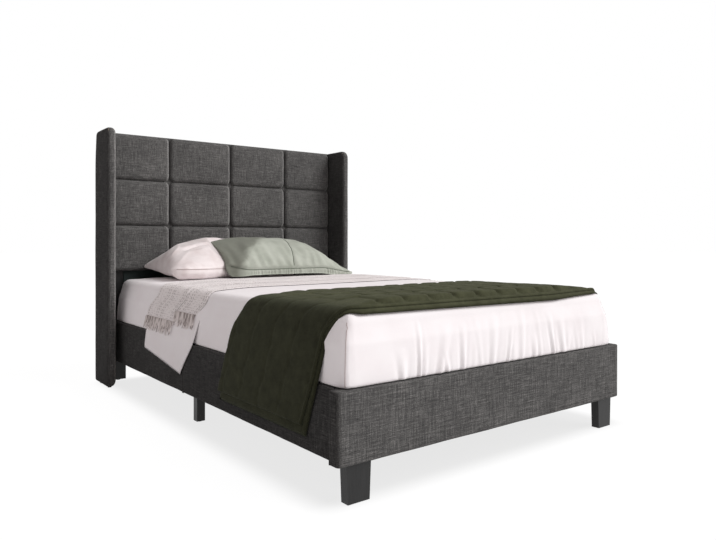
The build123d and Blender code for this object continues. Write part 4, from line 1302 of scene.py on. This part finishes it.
def pillow(name, node_name, mesh, floor_z, material):
    """A pillow from its sewn bag: inflated and dressed."""
    mesh = inflated(mesh, floor_z)
    made = piece(name, mesh, material, node_name, (node_name,))
    subdivision = made.modifiers.new("subdivision", "SUBSURF")
    subdivision.levels = subdivision.render_levels = 1
    return made


# %% [markdown]
# The sage pillow leans on the white one, so its rim comes first: it says where the white pillow is
# pressed down.

# %% Where the sage pillow leans
green_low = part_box("pillow_green")[0]
sage_front_long, sage_back_long = 0.757, 0.675
sage_front_x = green_low.x - 0.042
# Its lower cloth rises towards the headboard from this place and level.
sage_start_y, sage_start_z, sage_slope = 0.533, 0.576, 0.43
sage_back_u = (0, 0.08, 0.18, 0.27, 0.48, 0.56, 0.66, 0.8, 1)
sage_back_z = (0.699, 0.708, 0.716, 0.716, 0.698, 0.7005, 0.697, 0.655, 0.600)


def sage_back_y(u):
    """Where the sage pillow's back edge lies along the bed."""
    return green_low.y + 0.325 + 0.06 * math.sin(math.pi * u)


def green_rim(u, v):
    """The sage pillow's rim surface: u from its left end, v from its front edge."""
    front = Vector((sage_front_x + u * sage_front_long,
                    green_low.y + 0.058 - 0.040 * ease(u, 0, 0.13) + 0.028 * u,
                    0.582 - 0.020 * ease(u, 0, 0.15) - 0.027 * ease(u, 0.7, 1)))
    back = Vector((green_low.x + u * sage_back_long, sage_back_y(u),
                   float(np.interp(u, sage_back_u, sage_back_z))))
    point = front.lerp(back, v)
    point.x += 0.010 * math.sin(math.pi * v) * ((1 - u) ** 8 - u ** 8)
    return point


def below_sage(x, y, z):
    """A height of the white pillow, drawn down where the sage pillow lies on the place."""
    edge_x = sage_front_x + 0.157 * (y - sage_start_y)
    back_y = sage_back_y(clamp((x - green_low.x) / sage_back_long))
    top = sage_start_z + sage_slope * (min(y, back_y) - sage_start_y)
    top += 1.1 * math.hypot(max(0.0, edge_x - x), max(0.0, y - back_y))
    near = max(0.0, 1 - abs(z - top) / 0.012)
    return min(z, top) - 0.003 * near * near


# %% [markdown]
# The white pillow lies against the headboard and is plump at its left end, where folds run out
# of the corner. Where the sage pillow starts it folds over in a crease, drawn along a line.

# %% White pillow
white_low, white_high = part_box("pillow_white")
white_floor = white_low.z + 0.0006
white_fold_y = white_low.y + 0.30    # the folds run out from here, at the left end
crease_line = ((-0.385, 0.150), (-0.31, 0.158), (-0.258, 0.140), (-0.240, 0.085))


def crease_depth(x, along):
    """The crease where the white pillow folds beside the sage one."""
    away = 1.0
    for (x0, a0), (x1, a1) in zip(crease_line, crease_line[1:]):
        dx, da = x1 - x0, a1 - a0
        share = clamp(((x - x0) * dx + (along - a0) * da) / (dx ** 2 + da ** 2))
        away = min(away, math.hypot(x - x0 - share * dx, along - a0 - share * da))
    swell = 0.0045 * math.exp(-((away - 0.022) / 0.012) ** 2)
    return swell - 0.0095 * math.exp(-(away / 0.010) ** 2)


def white_rim(u, v):
    """The white pillow's rim surface: u from its left end, v from its front edge."""
    x = white_low.x - 0.004 + u * (white_high.x - white_low.x - 0.003)
    front_y = white_low.y + 0.010 + 0.085 * ease(u, 0.12, 0.5) + 0.055 * (1 - shoulder(u, 0.09))
    back_y = white_high.y - 0.004
    front_z = 0.573 - 0.012 * u
    back_z = 0.574 + 0.039 * (ease(u, 0.0, 0.35) + shoulder(u, 0.45))
    x += (0.024 * math.sin(math.pi * v) - 0.012 * (1 - v)) * (1 - u) ** 8
    y = front_y + v * (back_y - front_y)
    return Vector((x, y, front_z + v * (back_z - front_z)))


def white_top(u, v):
    """How the upper cloth stands out."""
    x, y, z = white_rim(u, v)
    end = shoulder(u, 0.11 + 0.26 * ease(v, 0.45, 1)) * shoulder(1 - u, 0.2)
    across = max(0.0, math.sin(math.pi * v ** 1.12)) ** 0.62
    pressed = 0.72 * ease(x, -0.06, 0.10)
    height = (0.083 + 0.024 * ease(x, -0.36, -0.18)) * end * across * (1 - pressed)
    away = math.hypot(x - white_low.x, 0.7 * (y - white_fold_y))
    angle = math.atan2(z + height - 0.57, x - white_low.x + 0.03)
    angle += 0.8 * math.atan2(y - white_fold_y, 0.25)
    ripple = 1 - 2 * abs(math.sin(angle * 6.5 + 1.4 * wave((x, y, 0), 9, 2))) ** 0.7
    fold = ripple * math.exp(-away / 0.13) * 0.0115 * end
    near = min(v * 0.42, (1 - v) * 0.42, u * 0.7)
    pucker = wave((x, y, 0), 42, 5) * 0.0035 * beside_seam(near, 0.03, 0.01)
    dent = (wave((x, y, 0), 7, 6) * 0.009 + wave((x, y, 0), 16, 9) * 0.0040) * end * across
    past = 0.0045 * beside_seam(near, 0.02, 0.006)
    dent += crease_depth(x, 0.38 * v) * ease(x, -0.41, -0.36)
    out = below_sage(x, y, z + height + fold * across + pucker + dent) - z
    return Vector((0.0, -past if v < 0.5 else past, out))


def white_under(u, v):
    """How the lower cloth sinks to the mattress."""
    x, y, z = white_rim(u, v)
    near = min(v * 0.42, (1 - v) * 0.42, u * 0.7, (1 - u) * 0.7)
    round_at = 0.06 + 0.12 * ease(v, 0.45, 1) * (1 - ease(u, 0.1, 0.3))
    pucker = wave((x, y, 0), 42, 8) * 0.003 * beside_seam(near, 0.03, 0.01)
    sink = 0.056 * shoulder(near, round_at) + pucker
    past = 0.010 * beside_seam(near, 0.05, 0.008)
    return Vector((-0.4 * past if u < 0.1 else 0.0, -past if v < 0.5 else past, -sink))


white_mesh = bag("white_pillow", 146, 84, white_rim, white_top, white_under, white_floor)
white_pillow = pillow("white_pillow", "pillow_white", white_mesh, white_floor, bedding["satin"])
white_front = [white_rim(u, 0) for u in np.linspace(0.02, 0.6, 60)]
stitched("white_seam", on_cloth(white_pillow, white_front), 0.0013, "white_thread_painted_shade",
         "pillow_white")

# %% [markdown]
# The sage pillow's cover is crinkled cotton: gathers hang from the front seam, soft folds rise
# from it, and a cuff is sewn across right of its middle.

# %% Sage pillow
cuff_v = (0.0, 0.2, 0.5, 0.75, 1.0)
cuff_u = (0.482, 0.515, 0.560, 0.580, 0.585)


def sage_seam_distance(u, v):
    """How far a place on the cloth is from the nearest seam."""
    return min(v * 0.36, (1 - v) * 0.36, u * 0.74, (1 - u) * 0.74)


def green_top(u, v):
    """How the upper cloth stands out: a flat slope at the left up to a soft ridge, then full."""
    x, y, z = green_rim(u, v)
    ridge = 0.09 + 0.42 * v
    slope = min(1.0, u / ridge)
    left = 0.16 * shoulder(u, 0.08) + 0.84 * (slope - 0.10 * math.sin(2 * math.pi * slope) / 2)
    right = min(1.0, (1 - u) / 0.26)
    end = left * (1 - (1 - right) ** 1.5)
    across = max(0.0, math.sin(math.pi * v ** 0.92)) ** 0.62
    height = 0.068 * end * across
    near = sage_seam_distance(u, v)
    rise = math.exp(-v * 0.36 / 0.10)
    fold = math.sin(x * 118 + 3.5 * wave((x, y, 0), 8, 4)) * 0.0040 * rise * shoulder(near, 0.02)
    crease = wave((x * 1.6, y * 0.7, 0), 16, 9) * 0.0040 * across
    pucker = wave((x, y, 0), 50, 5) * 0.0025 * beside_seam(near, 0.025, 0.01)
    off = (u - float(np.interp(v, cuff_v, cuff_u))) * 0.74
    cuff = 0.0035 * (1 - ease(off, -0.003, 0.004)) - 0.0050 * math.exp(-(off / 0.006) ** 2)
    past = 0.004 * beside_seam(near, 0.02, 0.006)
    out = height + fold + crease + pucker + cuff * shoulder(near, 0.02)
    return Vector((0, -0.36 * out + (-past if v < 0.5 else past), 0.93 * out))


def green_under(u, v):
    """How the lower cloth hangs below the front seam, gathered, and follows the slope behind."""
    x, y, z = green_rim(u, v)
    near = sage_seam_distance(u, v)
    deep = 0.044 + 0.024 * (1 - ease(u, 0.02, 0.16))
    sink = deep * max(0.0, math.sin(math.pi * v ** 0.45)) ** 0.6 * shoulder(near, 0.024)
    strong = ease(u, 0.10, 0.30) * (0.3 + 0.7 * ease(wave((x, 0, 0), 26, 7), -0.35, 0.25))
    gather = math.sin(x * 390 + 9 * wave((x, 0, 0), 22, 1)) * 0.0050 * strong
    gather *= beside_seam(near, 0.04, 0.006)
    past = (0.008 * beside_seam(near, 0.03, 0.008) + gather) * shoulder(near, 0.004)
    past += 0.030 * ease(near, 0.0, 0.03) * (1 - ease(v, 0.1, 0.3))
    return Vector((0, -past if v < 0.5 else past, -sink))


green_floor = green_low.z + 0.001
green_mesh = bag("sage_pillow", 188, 66, green_rim, green_top, green_under, green_floor)
sage_pillow = pillow("sage_pillow", "pillow_green", green_mesh, green_floor,
                     bedding["sage_cotton"])
sage_front = [green_rim(u, 0) for u in np.linspace(0.03, 0.97, 90)]
stitched("sage_seam", on_cloth(sage_pillow, sage_front), 0.0014, "sage_thread_painted_shade", "pillow_green")
cuff_line = []
for v in np.linspace(0.02, 0.80, 60):
    u = float(np.interp(v, cuff_v, cuff_u)) + 0.003
    cuff_line.append(green_rim(u, v) + green_top(u, v) + Vector((0, -0.002, 0.004)))
stitched("cuff_seam", on_cloth(sage_pillow, cuff_line), 0.0017, "sage_thread_painted_shade", "pillow_green")

# %% [markdown]
# ## Cloth behind and straps below
#
# Behind the headboard a black lining is stapled over the open frame, slightly slack between its
# battens, and two webbing straps run under the slats to keep them in their places.

# %% Lining and straps
back_low, back_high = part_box("headboard_back_cloth")
strap_low, strap_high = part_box("slat_straps")
strap_wide = 0.05
strap_x = 0.400


def lining():
    """The lining over the headboard's back, drawn in a little between the battens."""
    low, high = back_low, back_high
    bm = bmesh.new()
    for vert in grid(bm, 60, 34):
        a, b = vert.co.x + 0.5, vert.co.y + 0.5
        x = high.x - a * (high.x - low.x)
        z = low.z + b * (high.z - low.z)
        slack = ease(min(x - low.x, high.x - x), 0.05, 0.2)
        slack *= ease(min(z - low.z, high.z - z), 0.06, 0.2)
        vert.co = (x, high.y + slack * (0.0006 * wave((x, 0, z), 16, 2) - 0.004), z)
    return bm


back = piece("headboard_lining", lining(), bedding["back_cloth"], "frame",
             ("headboard_back_cloth",))
thicken(back, 0.0009)


def straps():
    """Two woven straps along the underside of the slats."""
    bm = bmesh.new()
    for side in (-1, 1):
        for vert in grid(bm, 4, 190):
            x = side * strap_x + vert.co.x * strap_wide / 2
            y = (strap_low.y + strap_high.y) / 2 + vert.co.y * (strap_high.y - strap_low.y)
            vert.co = (x, y, strap_high.z - 0.0001)
    return bm


strap_piece = piece("slat_webbing", straps(), bedding["webbing"], "frame",
                    ("slat_straps",))
thicken(strap_piece, 0.0011)

# %% [markdown]
# ## Floor and light
#
# The bed stands on a plain white floor, as in a catalogue: the floor glows white, with a painted
# soft grey shadow right below the bed and a little lit surface for the rest of its shadow. One
# large sun stands to the right of the foot end, and the white surroundings fill the other side.

# %% Floor
bpy.ops.mesh.primitive_plane_add(size=80)
floor = bpy.context.active_object
floor.name = "floor"


def floor_finish():
    """White for the camera, with a painted shadow right below the bed and a little real shadow, and
    plain pale for the light.
    """
    material = bpy.data.materials.new("floor")
    material.use_nodes = True
    tree = material.node_tree
    tree.nodes.remove(tree.nodes["Principled BSDF"])
    rays = node(tree, "ShaderNodeLightPath").outputs
    seen = maths(tree, "MAXIMUM", rays["Is Camera Ray"], rays["Is Glossy Ray"])
    seen = maths(tree, "MAXIMUM", seen, rays["Is Transmission Ray"])
    plain_floor = node(tree, "ShaderNodeBsdfDiffuse", {"Color": (0.75, 0.75, 0.75, 1)})
    lit = node(tree, "ShaderNodeBsdfDiffuse", {"Color": (0.06, 0.06, 0.06, 1)})
    # Painted shadow: the glow is dimmed in a soft rectangle right below the bed.
    parts = split(tree, place(tree))
    edges = []
    for axis, half in (("X", cad_box[1].x), ("Y", cad_box[1].y)):
        away = maths(tree, "SUBTRACT", maths(tree, "ABSOLUTE", parts[axis]), half)
        edges.append(eased(tree, away, -0.08, 0.04, 1.0, 0.0))
    below = maths(tree, "MULTIPLY", *edges)
    glow_with_painted_shadow = maths(tree, "MULTIPLY_ADD", below, -0.19, 0.97)
    glow = node(tree, "ShaderNodeEmission", {"Color": (1, 1, 1, 1), "Strength": glow_with_painted_shadow})
    both = node(tree, "ShaderNodeAddShader", {0: lit.outputs[0], 1: glow.outputs[0]})
    mixed = node(tree, "ShaderNodeMixShader", {0: seen, 1: plain_floor.outputs[0],
                                               2: both.outputs[0]})
    tree.links.new(mixed.outputs[0], tree.nodes["Material Output"].inputs["Surface"])
    return material


floor.data.materials.append(floor_finish())

# %% Light
world = bpy.data.worlds.new("studio")
bpy.context.scene.world = world
world.use_nodes = True
world_tree = world.node_tree
world_rays = node(world_tree, "ShaderNodeLightPath").outputs
direct = maths(world_tree, "MAXIMUM", world_rays["Is Camera Ray"],
               world_rays["Is Transmission Ray"])
strength = maths(world_tree, "MULTIPLY_ADD", direct, 0.53, 0.47)
background = world_tree.nodes["Background"]
green = maths(world_tree, "MULTIPLY_ADD", direct, 0.075, 0.925)
blue = maths(world_tree, "MULTIPLY_ADD", direct, 0.08, 0.92)
tint = node(world_tree, "ShaderNodeCombineColor", {0: 1.0, 1: green, 2: blue})
world_tree.links.new(tint.outputs[0], background.inputs["Color"])
world_tree.links.new(strength, background.inputs["Strength"])

sun = bpy.data.lights.new("key", "SUN")
sun.energy = 2.5
sun.angle = 0.7
lamp = bpy.data.objects.new("key", sun)
bpy.context.scene.collection.objects.link(lamp)
lamp.rotation_euler = Vector((-0.52, 0.54, -0.66)).to_track_quat("-Z", "Y").to_euler()
bpy.context.scene.view_settings.view_transform = "Standard"
